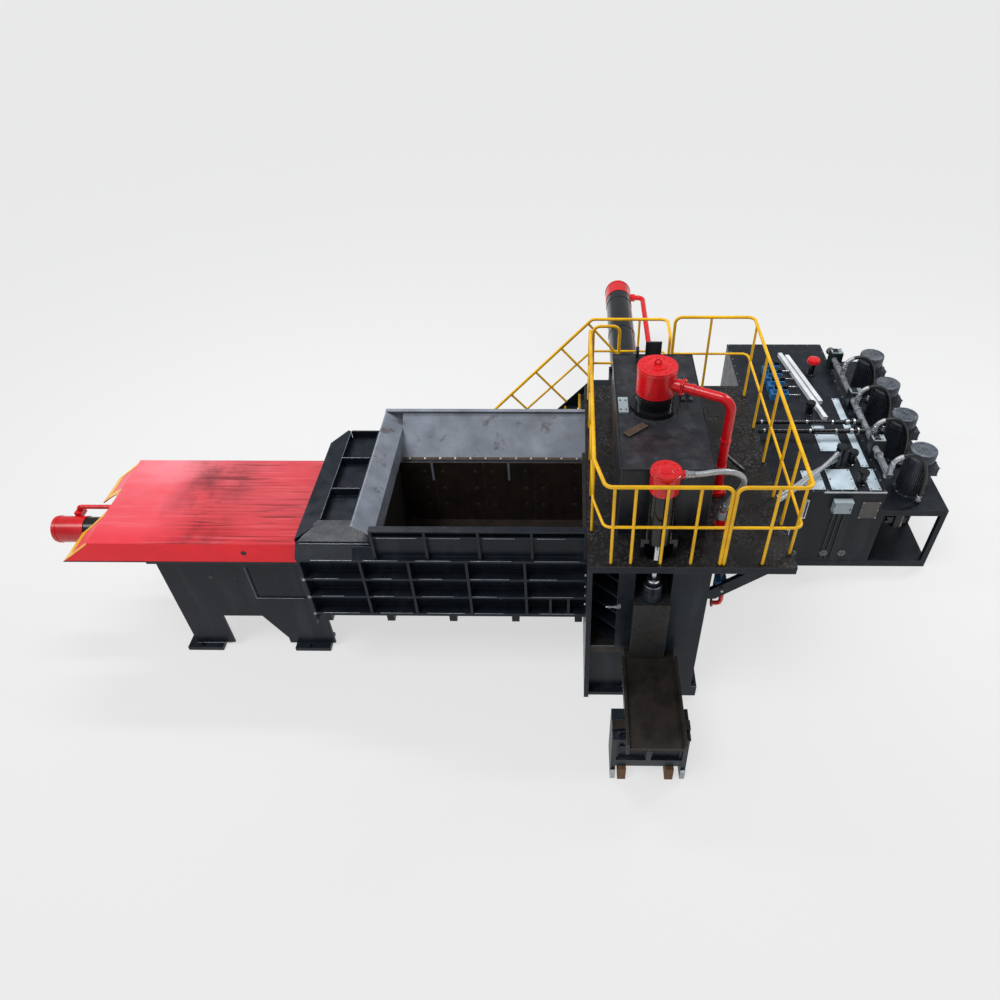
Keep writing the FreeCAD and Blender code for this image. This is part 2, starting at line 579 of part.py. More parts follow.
pipe_foot = ("column_right + 150", "-crown_half + 760")
port_turn = math.atan2(number(pipe_foot[1]), number(pipe_foot[0]))
port_out = (math.cos(port_turn), math.sin(port_turn))
press_port_z = "press_cap_top - 190"
press_port = round_bar("press_port", "z", ("0", "0", press_port_z), "75", "press_tube + 90")
press_port.Placement.Rotation = FreeCAD.Rotation(FreeCAD.Vector(0, 0, 1), FreeCAD.Vector(*port_out, 0))
press_cap_room = round_bar("press_cap_room", "z", ("0", "0", "press_tube_top - 1"), "press_bore",
                           "press_cap_top - press_tube_top - end_wall + 1")
eye_disc = round_bar("eye_disc", "y", ("0", "-15", "press_cap_top + 40"), "45", "30")
eye_hole = round_bar("eye_hole", "y", ("0", "-16", "press_cap_top + 45"), "22", "32")
keep(cut("press_cap_weld", joined("press_cap_body", [
    round_bar("press_cap_bar", "z", ("0", "0", "press_tube_top"), "press_tube + press_cap_extra",
              "press_cap_top - press_tube_top"), press_port, eye_disc]),
    [press_cap_room, eye_hole]), "press_cylinder_cap")

press_pipe = joined("press_pipe_weld", [
    bent_tube("press_pipe", [(f"(press_tube + 90) * {port_out[0]:.5f}",
                              f"(press_tube + 90) * {port_out[1]:.5f}",
                              press_port_z), (pipe_foot[0], pipe_foot[1], press_port_z),
                             (pipe_foot[0], pipe_foot[1], "deck_top")], "55", "140"),
    round_bar("press_pipe_foot", "z", (pipe_foot[0], pipe_foot[1], "deck_top"), "95", "25"),
])

keep(block("press_block", ("-chamber_x + guide_gap", "chamber_x - guide_gap"), ram_y,
           ("press_rest", "press_top")), "press_ram")
press_piston_z = "press_cap_top - end_wall - 20 - piston_length"
keep(joined("press_rod_weld", [
    round_bar("press_rod_bar", "z", ("0", "0", "press_top"), "press_rod", f"{press_piston_z} - (press_top)"),
    round_bar("press_piston", "z", ("0", "0", press_piston_z), "press_bore - fit_gap", "piston_length"),
]), "press_piston_rod")

lug = plate("lug", "YZ", [("crown_half - 100", "crown_top"), ("crown_half - 20", "crown_top"),
                          ("crown_half - 20", "crown_top + 110"), ("crown_half - 60", "crown_top + 150"),
                          ("crown_half - 100", "crown_top + 110")], "-150", "-110")
bracket = joined("bracket", [
    block("bracket_foot", ("-40", "160"), ("crown_half - 240", "crown_half - 130"),
          ("crown_top", "crown_top + 20")),
    block("bracket_back", ("-40", "160"), ("crown_half - 150", "crown_half - 130"),
          ("crown_top + 20", "crown_top + 260"))])
clamps = []
for i in range(2):
    clamp_x = f"press_tube + 95 + {i} * 90"
    clamps.append(joined(f"clamp_{i}", [
        block(f"clamp_foot_{i}", (clamp_x, f"{clamp_x} + 60"), ("120", "270"),
              ("crown_top", "crown_top + 15")),
        block(f"clamp_back_{i}", (clamp_x, f"{clamp_x} + 12"), ("120", "270"),
              ("crown_top + 15", "crown_top + 90"))]))
pale_plate = block("pale_plate", ("-crown_left + 20", "-crown_left + 120"), ("-120", "130"),
                   ("crown_top", "crown_top + 20"))
brown_plate = block("brown_plate", ("0", "300"), ("0", "90"), ("0", "25"))
brown_plate.Placement.Rotation = FreeCAD.Rotation(FreeCAD.Vector(0, 0, 1), 42)
place(brown_plate, "-crown_left + 110", "-crown_half + 560", "crown_top")
keep(group("crown_fittings_group", [lug, bracket] + clamps + [pale_plate, brown_plate]), "crown_fittings")

# ---------------------------------------------------------------- outlet gate
gate_items = [
    block("gate_block", ("-gate_half", "gate_half"),
          ("-gate_front + gate_plate", "-throat_outer - guide_gap"),
          ("floor_top + slide_gap", "gate_top")),
    block("gate_face", ("-gate_half", "gate_half"), ("-gate_front", "-gate_front + gate_plate"),
          ("gate_low", "gate_top"))]
keep(joined("gate_weld", gate_items), "outlet_gate")
gate_piston_z = "gate_tube_low + 115"
keep(joined("gate_rod_weld", [
    round_bar("clevis_base", "z", ("0", "-gate_axis", "gate_top"), "clevis_radius", "clevis_height - 80"),
    round_bar("clevis_neck", "z", ("0", "-gate_axis", "gate_top + clevis_height - 80"), "clevis_radius * 0.7",
              "80"),
    round_bar("gate_rod_bar", "z", ("0", "-gate_axis", "gate_top + clevis_height"), "gate_rod",
              f"{gate_piston_z} - (gate_top + clevis_height)"),
    round_bar("gate_piston", "z", ("0", "-gate_axis", gate_piston_z), "gate_bore - fit_gap", "80"),
]), "gate_piston_rod")
gate_stand = [block(f"gate_stand_{i}", (x, f"{x} + 40"), ("-gate_axis - 90", "-crown_half"),
                    ("deck_top", "gate_tube_low + 60")) for i, x in enumerate(("-200", "160"))]
gate_outer = joined("gate_outer", gate_stand + [
    block("gate_mount", ("-200", "200"), ("-gate_axis - 90", "-crown_half"),
          ("gate_tube_low", "gate_tube_low + 60")),
    round_bar("gate_tube_bar", "z", ("0", "-gate_axis", "gate_tube_low"), "gate_tube",
              "gate_tube_top - gate_tube_low")])
keep(cut("gate_tube_weld", gate_outer, [
    round_bar("gate_tube_bore", "z", ("0", "-gate_axis", "gate_tube_low + 100"), "gate_bore",
              "gate_tube_top - gate_tube_low"),
    round_bar("gate_tube_throat", "z", ("0", "-gate_axis", "gate_tube_low - 1"), "gate_rod + fit_gap", "102"),
]), "gate_cylinder_tube")
keep(cut("gate_cap_weld", joined("gate_cap_body", [
    round_bar("gate_cap_bar", "z", ("0", "-gate_axis", "gate_tube_top"), "gate_tube + 10",
              "gate_cap_top - gate_tube_top"),
    round_bar("gate_cap_port", "x", ("0", "-gate_axis", "gate_port_z"), "45", "gate_tube + 50")]),
    [round_bar("gate_cap_room", "z", ("0", "-gate_axis", "gate_tube_top - 1"), "gate_bore",
               "gate_cap_top - gate_tube_top - 59")]), "gate_cylinder_cap")

# ---------------------------------------------------------------- eject ram
wall = "eject_box_wall"
eject_items = [
    block("eject_bed", ("-chamber_x - 100", "chamber_x + 100"), ("column_depth", "eject_box_end"),
          ("floor_top - 70", "floor_top")),
    block("eject_roof", ("-chamber_x - 100", "chamber_x + 100"), ("column_depth", "eject_box_end"),
          ("outlet_top", f"outlet_top + {wall}")),
    block("eject_cheek_a", (f"-chamber_x - {wall}", "-chamber_x"), ("column_depth", "eject_box_end"),
          ("floor_top", "outlet_top")),
    block("eject_cheek_b", ("chamber_x", f"chamber_x + {wall}"), ("column_depth", "eject_box_end"),
          ("floor_top", "outlet_top"))]
eject_end = cut("eject_end",
                block("eject_end_skin", ("-chamber_x - 100", "chamber_x + 100"),
                      ("eject_box_end", "eject_box_end + 60"),
                      ("floor_top - 70", f"outlet_top + {wall} + 60")),
                [round_bar("eject_end_hole", "y", ("0", "eject_box_end - 1", "eject_axis"),
                           "eject_tube + fit_gap", "62")])
for i, y in enumerate(("column_depth + 900", "eject_box_end - 300")):
    for side, x in (("a", "-chamber_x - 100"), ("b", "chamber_x")):
        eject_items.append(block(f"eject_leg_{side}_{i}", (x, f"{x} + 100"), (y, f"{y} + 150"),
                                 ("0", "floor_top - 70")))
keep(joined("eject_box_weld", eject_items + [eject_end]), "eject_guide_box")

keep(block("eject_block", ("-gate_half", "gate_half"), ("throat_outer", "eject_back"),
           ("floor_top + slide_gap", "floor_top + slide_gap + eject_height")), "eject_ram")
eject_tube_end = "(eject_tip - eject_cap)"
eject_outer = joined("eject_outer", [
    round_bar("eject_tube_bar", "y", ("0", "eject_box_end", "eject_axis"), "eject_tube",
              f"{eject_tube_end} - eject_box_end"),
    round_bar("eject_flange", "y", ("0", "eject_box_end + 60", "eject_axis"), "eject_tube + 70",
              "flange_thick")])
keep(cut("eject_tube_weld", eject_outer, [
    round_bar("eject_tube_bore", "y", ("0", "eject_box_end + gland_length", "eject_axis"), "eject_bore",
              f"{eject_tube_end} - eject_box_end"),
    round_bar("eject_throat", "y", ("0", "eject_box_end - 1", "eject_axis"), "eject_rod + fit_gap",
              "gland_length + 2"),
]), "eject_cylinder_tube")
eject_port_y = "(eject_tip - 260)"
keep(cut("eject_cap_weld", joined("eject_cap_body", [
    round_bar("eject_cap_bar", "y", ("0", eject_tube_end, "eject_axis"), "eject_tube + 8", "eject_cap"),
    round_bar("eject_cap_port", "x", ("0", eject_port_y, "eject_axis"), "75", "eject_tube + 90")]),
    [round_bar("eject_cap_room", "y", ("0", f"{eject_tube_end} - 1", "eject_axis"), "eject_bore",
               "eject_cap - end_wall + 1")]), "eject_cylinder_cap")
eject_piston_y = "eject_tip - end_wall - 20 - piston_length"
keep(joined("eject_rod_weld", [
    round_bar("eject_rod_bar", "y", ("0", "eject_back", "eject_axis"), "eject_rod",
              f"{eject_piston_y} - (eject_back)"),
    round_bar("eject_piston", "y", ("0", eject_piston_y, "eject_axis"), "eject_bore - fit_gap",
              "piston_length")]), "eject_piston_rod")
eject_pipe_x = "eject_tube + 250"
eject_pipe = bent_tube("eject_pipe", [("eject_tube + 90", eject_port_y, "eject_axis"),
                              (eject_pipe_x, eject_port_y, "eject_axis"),
                              (eject_pipe_x, "eject_box_end + 260", "eject_axis"),
                              ("eject_tube", "eject_box_end + 260", "eject_axis")], "50", "110")
fitting_x, fitting_y, fitting_top = "column_right + 107", "-crown_half + 151", "deck_top + 235"
deck_fitting = joined("deck_fitting", [
    round_bar("fitting_flange", "z", (fitting_x, fitting_y, "deck_top"), "65", "30"),
    round_bar("fitting_neck", "z", (fitting_x, fitting_y, "deck_top"), "42", "235")])
keep(group("pipe_group", [main_pipe, press_pipe, eject_pipe, deck_fitting]), "cylinder_pipes")

# ---------------------------------------------------------------- deck
deck_skin = block("deck_skin", ("-deck_left", "deck_right"), ("-deck_front", "deck_rear"),
                  ("deck_low", "deck_top"))
keep(cut("deck_cut", deck_skin, [
    block("deck_crown_hole", ("-crown_left", "crown_right"), ("-crown_half", "crown_half"),
          ("deck_low - 1", "deck_top + 1")),
    round_bar("deck_rod_hole", "z", ("0", "-gate_axis", "deck_low - 1"), "deck_hole", "deck_thick + 2"),
]), "deck_plate")

beam = 60
frame_items = [
    block("deck_front_beam", ("-deck_left", "deck_right"), ("-deck_front", f"-deck_front + {beam}"),
          ("frame_low", "deck_low")),
    block("deck_rear_beam", ("-deck_left", "deck_right"), (f"deck_rear - {beam}", "deck_rear"),
          ("frame_low", "deck_low"))]
for i, x in enumerate(("-deck_left", f"-crown_left - {beam}", "crown_right", f"deck_right - {beam}")):
    frame_items.append(block(f"deck_cross_{i}", (x, f"{x} + {beam}"),
                             (f"-deck_front + {beam}", f"deck_rear - {beam}"), ("frame_low", "deck_low")))
for i, y in enumerate((-1320, -650, 0, 650, 1320)):
    frame_items.append(block(f"deck_joist_{i}", (f"crown_right + {beam}", f"deck_right - {beam}"),
                             (y, y + beam), ("frame_low", "deck_low")))
for i, y in enumerate(("-column_depth + 20", "column_depth - 80")):
    brace = [("column_right", "frame_low - 650"), ("column_right + 90", "frame_low - 650"),
             ("deck_right - 10", "frame_low - 60"), ("deck_right - 10", "frame_low"),
             ("deck_right - 170", "frame_low"), ("column_right", "frame_low - 520")]
    frame_items.append(plate(f"deck_brace_{i}", "XZ", brace, y, f"{y} + {beam}"))
keep(joined("deck_frame_weld", frame_items), "deck_frame")

# ---------------------------------------------------------------- railings
def railing(name, corners, posts, ends):
    """A welded guard rail: top rail, knee rail and posts on the deck.

    ends says, for the first and the last corner, whether the top rail bends down to the deck."""
    top = [(x, y, "rail_top") for x, y in corners]
    if ends[0]:
        top.insert(0, (*corners[0], "deck_top"))
    if ends[1]:
        top.append((*corners[-1], "deck_top"))
    knee = [(x, y, "(rail_top + deck_top) / 2") for x, y in corners]
    items = [bent_tube(name + "_top", top, "rail_tube / 2", "rail_bend"),
             bent_tube(name + "_knee", knee, "rail_thin / 2 - 1", "rail_bend")]
    for i, (x, y) in enumerate(posts):
        items.append(round_bar(f"{name}_post_{i}", "z", (x, y, "deck_top"), "rail_thin / 2",
                               "rail_top - deck_top"))
    return joined(name, items)


rail_front = "-deck_front + rail_inset"
rail_right = "deck_right - rail_inset"
rail_rear = "deck_rear - rail_inset"
rail_left = "-deck_left + rail_inset"
split = 690
keep(group("railing_group", [
    railing("rail_a", [(rail_left, "1580"), (rail_left, "-1200"), (f"{rail_left} + 110", rail_front),
                       (f"{split} - rail_gap / 2 - 4", rail_front)],
            [(rail_left, y) for y in ("900", "200", "-500", "-1120")]
            + [(x, rail_front) for x in ("-520", "-304", "19", "350")], (True, True)),
    railing("rail_b", [(f"{split} + rail_gap / 2 + 4", rail_front), (rail_right, rail_front),
                       (rail_right, rail_rear), ("420", rail_rear)],
            [("1131", rail_front)]
            + [(rail_right, y) for y in ("-1480", "-1010", "-510", "170", "910", "1680")]
            + [("900", rail_rear)], (True, True)),
    railing("rail_c", [(f"{rail_left} + rail_gap + 10", "1640"), ("-330", "1640")], [], (True, True)),
]), "railings")

# ---------------------------------------------------------------- landing, stairs and their rail
stair_front, stair_rear = "deck_rear", "stair_rear"
stringer = [("-stair_start", "landing"), ("-stair_start", "landing - stringer_drop"),
            ("stair_foot + stringer_drop", "0"), ("stair_foot", "0")]
tread_rise = "(landing / tread_count)"
stair_items = [
    plate("stringer_front", "XZ", stringer, stair_front, f"{stair_front} + stringer_thick"),
    plate("stringer_rear", "XZ", stringer, f"{stair_rear} - stringer_thick", stair_rear),
    block("landing_skin", ("-stair_start", "landing_right"), (stair_front, stair_rear),
          ("landing - 8", "landing")),
    block("landing_edge", ("-stair_start", "landing_right"), (f"{stair_rear} - 40", stair_rear),
          ("landing - 100", "landing - 8")),
    block("landing_hanger", ("-stair_start", "landing_right"), (stair_front, f"{stair_front} + 10"),
          ("landing - 100", "deck_low")),
]
for i in range(2):
    side_x = f"-stair_start + {i} * (landing_right + stair_start - 40)"
    stair_items.append(block(f"landing_side_{i}", (side_x, f"{side_x} + 40"),
                             (f"{stair_front} + 10", f"{stair_rear} - 40"), ("landing - 100", "landing - 8")))
for i in range(1, SIZES["tread_count"]):
    tread_x, tread_z = f"-stair_start - {i} * tread_depth", f"landing - {i} * {tread_rise}"
    stair_items.append(block(f"tread_{i}", (f"{tread_x} + 30", f"{tread_x} + tread_depth + 20"),
                             (f"{stair_front} + stringer_thick", f"{stair_rear} - stringer_thick"),
                             (f"{tread_z} - tread_thick - 20", f"{tread_z} - 20")))
keep(joined("stair_weld", stair_items), "stairs")

rail_y = f"{stair_rear} - 35"


def stair_line(name, height, radius):
    """A rail that follows the stair and the landing at one height, and bends down at both ends."""
    top = f"landing + {height}"
    foot = ("stair_foot + 60", f"60 * landing / (tread_count * tread_depth) + {height}")
    route = [(foot[0], rail_y, foot[1]), ("-stair_start", rail_y, top), ("landing_right - 30", rail_y, top),
             ("landing_right - 30", f"{stair_front} + 60", top)]
    if height == "stair_rail":
        route.insert(0, (foot[0], rail_y, "60 * landing / (tread_count * tread_depth)"))
        route.append(("landing_right - 30", f"{stair_front} + 60", "landing"))
    return bent_tube(name, route, radius, "rail_bend")


stair_rail_items = [stair_line("stair_top", "stair_rail", "rail_tube / 2"),
                    stair_line("stair_knee", "stair_rail / 2", "rail_thin / 2 - 1")]
for i in range(6):
    bar_x = f"(-stair_start - 60 - {i} * (tread_count * tread_depth - 450) / 5)"
    bar_z = f"(landing + stair_rail + ({bar_x} + stair_start) * landing / (tread_count * tread_depth))"
    stair_rail_items.append(bent_tube(f"stair_bar_{i}", [
        (bar_x, rail_y, bar_z), (f"{bar_x} + stair_rail * 0.46", rail_y, f"{bar_z} - stair_rail * 0.515")],
        "rail_thin / 2", "rail_bend"))
stair_rail_items.append(round_bar("landing_post", "z", ("0", rail_y, "landing"), "rail_thin / 2",
                                  "stair_rail"))
keep(joined("stair_rail_weld", stair_rail_items), "stair_railing")

# ---------------------------------------------------------------- bale table
table_rear = "-column_depth"
table_items = [block("table_skin", ("-table_left", "table_right"), ("-table_end", table_rear),
                     ("table_top - table_thick", "table_top"))]
for i, x in enumerate(("-table_left - table_stand", "table_right")):
    table_items.append(block(f"table_wing_{i}", (x, f"{x} + table_stand"), ("-table_end", "-gate_front - 10"),
                             ("table_top - 120", "table_top + 60")))
for i, x in enumerate(("-table_left - stand_out_left", "table_right + stand_out_right")):
    leg = [("-table_end + 170", "0"), ("-table_end + 620", "0"), ("-table_end + 620", "table_top - 120"),
           ("-table_end + 230", "table_top - 120")]
    table_items.append(plate(f"table_leg_{i}", "YZ", leg, x, f"{x} + table_stand + 30"))
leg_span = ("-table_left - stand_out_left", "table_right + stand_out_right + table_stand + 30")
table_items += [
    block("table_bearer", leg_span, ("-table_end + 300", "-table_end + 420"),
          ("table_top - 120", "table_top - table_thick")),
    block("table_beam", leg_span, ("-table_end + 200", "-table_end + 260"),
          ("table_beam_low", "table_beam_high")),
    block("table_post", ("-40", "20"), ("-table_end + 200", "-table_end + 260"),
          ("table_beam_high", "table_top - table_thick"))]
keep(joined("table_weld", table_items), "bale_table")
wood_spots = ("-table_left - 90", "table_right - 140")
keep(group("wood_group", [block(f"wood_{i}", (x, f"{x} + wood_width"),
                                ("-table_end + 150", "-table_end + 320"), ("0", "table_beam_low"))
                          for i, x in enumerate(wood_spots)]),
     "wood_blocks")

# ---------------------------------------------------------------- power unit
tank_x, unit_y = ("tank_left", "tank_right"), ("unit_front", "unit_rear")
tank_room = block("tank_room", ("tank_left + tank_wall", "tank_right - tank_wall"),
                  ("unit_front + tank_wall", "unit_rear - tank_wall"),
                  ("base_height + tank_wall", "tank_top + 1"))
keep(cut("tank_weld", block("tank_skin", tank_x, unit_y, ("base_height", "tank_top")), [tank_room]),
     "oil_tank")
lid_items = [block("lid_skin", tank_x, unit_y, ("tank_top", "tank_top + lid_thick"))]
hatch_spots = ((("2870", "3210"), ("1950", "2370")), (("2870", "3160"), ("1030", "1490")),
               (("3380", "3480"), ("1560", "3390")), (("2150", "2500"), ("1500", "2900")))
for i, (hatch_x, hatch_y) in enumerate(hatch_spots):
    lid_items.append(block(f"lid_hatch_{i}", hatch_x, hatch_y, ("lid_top", "lid_top + lid_thick")))
keep(joined("lid_weld", lid_items), "tank_lid")

post = "post_width"
unit_items = [block("unit_rail_front", ("tank_left", "stand_right"), ("unit_front", f"unit_front + {post}"),
                    ("0", "base_height")),
              block("unit_rail_rear", ("tank_left", "stand_right"), (f"unit_rear - {post}", "unit_rear"),
                    ("0", "base_height"))]
for i, x in enumerate(("tank_left", "(tank_left + tank_right) / 2", "tank_right", f"stand_right - {post}")):
    unit_items.append(block(f"unit_cross_{i}", (x, f"{x} + {post}"),
                            (f"unit_front + {post}", f"unit_rear - {post}"), ("0", "base_height")))
stand_skin = block("stand_skin", ("tank_right", "stand_right"), unit_y,
                   ("stand_top - stand_plate", "stand_top"))
motor_centres = [f"motor_first + {i} * motor_pitch" for i in range(SIZES["motor_count"])]
unit_items.append(cut("stand_plate_cut", stand_skin,
                      [round_bar(f"stand_hole_{i}", "z", ("motor_x", y, "stand_top - stand_plate - 1"),
                                 "motor_radius * 0.6", "stand_plate + 2")
                       for i, y in enumerate(motor_centres)]))
post_rows = ["unit_front"] + [f"{y} + motor_pitch / 2 - {post} / 2" for y in motor_centres[:-1]]
post_rows.append(f"unit_rear - {post}")
for i, y in enumerate(post_rows):
    for side, x in (("left", "tank_right"), ("right", f"stand_right - {post}")):
        unit_items.append(block(f"stand_post_{side}_{i}", (x, f"{x} + {post}"), (y, f"{y} + {post}"),
                                ("base_height", "stand_top - stand_plate")))
    unit_items.append(block(f"stand_beam_{i}", (f"tank_right + {post}", f"stand_right - {post}"),
                            (y, f"{y} + {post}"),
                            (f"stand_top - stand_plate - {post}", "stand_top - stand_plate")))
unit_items.append(block("stand_floor", (f"tank_right + {post}", f"stand_right - {post}"),
                        (f"unit_front + {post}", f"unit_rear - {post}"), ("base_height - 10", "base_height")))
for i, y in enumerate(motor_centres):
    unit_items.append(round_bar(f"hose_boss_{i}", "z", ("header_x + 570", f"{y} - 322", "stand_top - 1"),
                                "38", "61"))
keep(joined("unit_weld", unit_items), "power_unit_frame")

housings, cowls, pumps = [], [], []
for i, y in enumerate(motor_centres):
    housing = joined(f"housing_{i}", [
        round_bar(f"housing_bar_{i}", "z", ("motor_x", y, "stand_top"), "motor_radius", "motor_body"),
        round_bar(f"housing_flange_{i}", "z", ("motor_x", y, "stand_top"), "motor_flange", "stand_plate"),
        block(f"terminal_box_{i}", ("motor_x + motor_radius - 20", "motor_x + motor_radius + 90"),
              (f"{y} - 80", f"{y} + 80"), ("stand_top + 330", "stand_top + 480"))])
    housings.append(cut(f"housing_cut_{i}", housing, [
        round_bar(f"housing_room_{i}", "z", ("motor_x", y, "stand_top + 30"), "rotor_radius + 15",
                  "motor_body - 60"),
        round_bar(f"housing_bore_{i}", "z", ("motor_x", y, "stand_top - 1"), "shaft_radius + bearing_gap",
                  "motor_body + 2")]))
    cowl = round_bar(f"cowl_bar_{i}", "z", ("motor_x", y, "motor_top"), "motor_radius + cowl_wall",
                     "cowl_height")
    cowls.append(cut(f"cowl_cut_{i}", cowl, [
        round_bar(f"cowl_room_{i}", "z", ("motor_x", y, "motor_top - 1"), "motor_radius",
                  "cowl_height - cowl_wall + 1")]))
    rotor = joined(f"rotor_{i}", [
        round_bar(f"rotor_shaft_{i}", "z", ("motor_x", y, "stand_top - 150"), "shaft_radius",
                  "motor_body + 230"),
        round_bar(f"rotor_core_{i}", "z", ("motor_x", y, "stand_top + 60"), "rotor_radius",
                  "motor_body - 120"),
        round_bar(f"rotor_fan_{i}", "z", ("motor_x", y, "motor_top + 40"), "rotor_radius + 20", "40")])
    keep(rotor, f"motor_rotor_{i + 1}")
    pump = joined(f"pump_{i}", [
        round_bar(f"bell_{i}", "z", ("motor_x", y, "stand_top - stand_plate - bell_height"), "bell_radius",
                  "bell_height"),
        round_bar(f"pump_bar_{i}", "z", ("motor_x", y, "stand_top - stand_plate - bell_height - pump_height"),
                  "pump_radius", "pump_height"),
        block(f"pump_port_{i}", ("motor_x - pump_radius - 60", "motor_x + pump_radius + 60"),
              (f"{y} - 60", f"{y} + 60"),
              ("stand_top - stand_plate - bell_height - pump_height + 60",
               "stand_top - stand_plate - bell_height - pump_height + 180"))])
    pumps.append(cut(f"pump_cut_{i}", pump, [
        round_bar(f"bell_room_{i}", "z", ("motor_x", y, "stand_top - stand_plate - bell_height + 40"),
                  "bell_radius - 15", "bell_height")]))
keep(group("motor_group", housings), "motor_housings")
keep(group("cowl_group", cowls), "motor_fan_cowls")
keep(group("pump_group", pumps), "pumps")

header = [round_bar("header_bar", "y", ("header_x", "unit_front + 120", "header_z"), "header_radius",
                    "motor_count * motor_pitch")]
feed_lanes = (("2455", "1550", "1300"), ("2220", "1750", "1080"))
block_rows = [f"{motor_centres[i]} + {shift}" for i, shift in ((0, "330"), (2, "-160"), (3, "200"))]
for i, y in enumerate(block_rows):
    header.append(block(f"manifold_{i}", ("header_x - block_width * 0.3", "header_x + block_width * 0.7"),
                        (y, f"{y} + block_depth"), ("lid_top", "header_z + 110")))
for i, y in enumerate(motor_centres):
    header.append(round_bar(f"header_port_{i}", "z", ("header_x", f"{y} - 330", "header_z"), "36",
                            "header_rise"))
for i, (lane_y, _, _) in enumerate(feed_lanes):
    header.append(round_bar(f"feed_port_{i}", "x", ("header_x - header_rise", lane_y, "header_z"), "45",
                            "header_rise"))
header_clear = block("header_clear", ("header_x - 200", "header_x + 200"), unit_y,
                     ("0", "tank_top + lid_thick"))
keep(cut("header_cut", joined("header_weld", header), [header_clear]), "pressure_manifold")

hoses = []
for i, y in enumerate(motor_centres):
    lane = f"{y} - 330"
    hoses.append(bent_tube(f"hose_{i}", [
        ("header_x", lane, "header_z + header_rise"), ("header_x", lane, "header_z + header_rise + 100"),
        ("header_x + 90", f"{lane} + 3", "header_z + 330"),
        ("header_x + 240", f"{lane} + 8", "header_z + 360"),
        ("header_x + 385", f"{lane} + 14", "header_z + 295"),
        ("header_x + 490", f"{lane} + 18", "header_z + 150"),
        ("header_x + 550", f"{lane} + 14", "header_z - 50"),
        ("header_x + 570", f"{lane} + 8", "header_z - 270"),
        ("header_x + 570", f"{lane} + 8", "stand_top + 60")], "hose_radius"))
keep(group("hose_group", hoses), "pump_hoses")

feed = []
for i, (lane_y, lane_x, port_y) in enumerate(feed_lanes):
    feed.append(bent_tube(f"feed_{i}", [("header_x - header_rise", lane_y, "header_z"),
                                        (lane_x, lane_y, "header_z"), (lane_x, port_y, "header_z"),
                                        ("column_right", port_y, "header_z")], "feed_radius", "150"))
keep(group("feed_group", feed), "feed_pipes")

hose_post = ("3010", "1590")
fittings = [round_bar(f"filter_{i}", "z", (x, y, "lid_top"), "75", "230")
            for i, (x, y) in enumerate((("3240", "1660"), ("3270", "1180"), ("2900", "2960")))]
fittings.append(joined("breather", [
    round_bar("breather_neck", "z", ("3190", "4150", "lid_top"), "60", "240"),
    round_bar("breather_cap", "z", ("3190", "4150", "lid_top + 240"), "110", "90")]))
fittings += [block(f"valve_{i}", ("2350", "2650"), (f"{y}", f"{y} + 150"), ("lid_top", "lid_top + 260"))
             for i, y in enumerate((3350, 3600, 3850, 4100))]
for i, (x, y) in enumerate(((("2740", "3087"), ("4770", "2770")), (("2850", "3112"), ("4700", "3230")))):
    tray = [(x[0], y[0]), (f"{x[0]} + tray_width", y[0]), (f"{x[1]} + tray_width", y[1]), (x[1], y[1])]
    fittings.append(plate(f"cable_tray_{i}", "XY", tray, "lid_top", "lid_top + 75"))
fittings.append(round_bar("hose_post", "z", (*hose_post, "lid_top"), "post_radius", "370"))
keep(group("fittings_group", fittings), "tank_top_fittings")
keep(group("front_boxes", [
    block("junction_box", ("2860", "3170"), ("unit_front - 110", "unit_front"), ("1150", "1390")),
    block("cover_panel", ("3300", "3560"), ("unit_front - 12", "unit_front"), ("1020", "1330")),
    block("gauge_high", ("2470", "2510"), ("unit_front - 25", "unit_front"), ("1020", "1370")),
    block("gauge_low", ("2300", "2340"), ("unit_front - 25", "unit_front"), ("560", "800")),
] + [round_bar(f"port_{i}", "y", (x, "unit_front - 35", "300"), "60", "35")
     for i, x in enumerate(("2480", "2960", "3240"))]), "tank_front_fittings")

# The gate cylinder's hose, and the two hoses from the tank's lid to the press column.
gate_hose = [("gate_tube + 50", "-gate_axis", "gate_port_z"), ("340", "-gate_axis", "gate_port_z"),
             ("490", "-1446", "3785"), ("650", "-1425", "3778"), ("785", "-1372", "3690"),
             ("860", "-1290", "3550"), ("872", "-1195", "3385"), ("838", "-1115", "3220"),
             ("790", "-1058", "3065"), (fitting_x, fitting_y, f"{fitting_top} + 8.3")]
upper_hose = [("2957", "1530", "1790"), ("2800", "1350", "1790"), ("2610", "1140", "1800"),
              ("2400", "915", "1815"), ("2190", "700", "1830"), ("1970", "480", "1850"),
              ("1740", "280", "1870"), ("1480", "120", "1885"), ("1200", "20", "1890"),
              ("920", "-20", "1890"), ("column_right", "-20", "1890")]
lower_hose = [("2948.6", "1538.2", "1670"), ("2770", "1387", "1670"), ("2560", "1215", "1690"),
              ("2350", "1000", "1705"), ("2130", "785", "1720"), ("1900", "585", "1745"),
              ("1650", "400", "1765"), ("1390", "260", "1780"), ("1130", "170", "1790"),
              ("890", "140", "1790"), ("column_right", "140", "1790")]
keep(group("deck_hose_group", [bent_tube("gate_hose", gate_hose, "hose_radius"),
                               bent_tube("upper_hose", upper_hose, "hose_radius"),
                               bent_tube("lower_hose", lower_hose, "hose_radius")]), "deck_hoses")

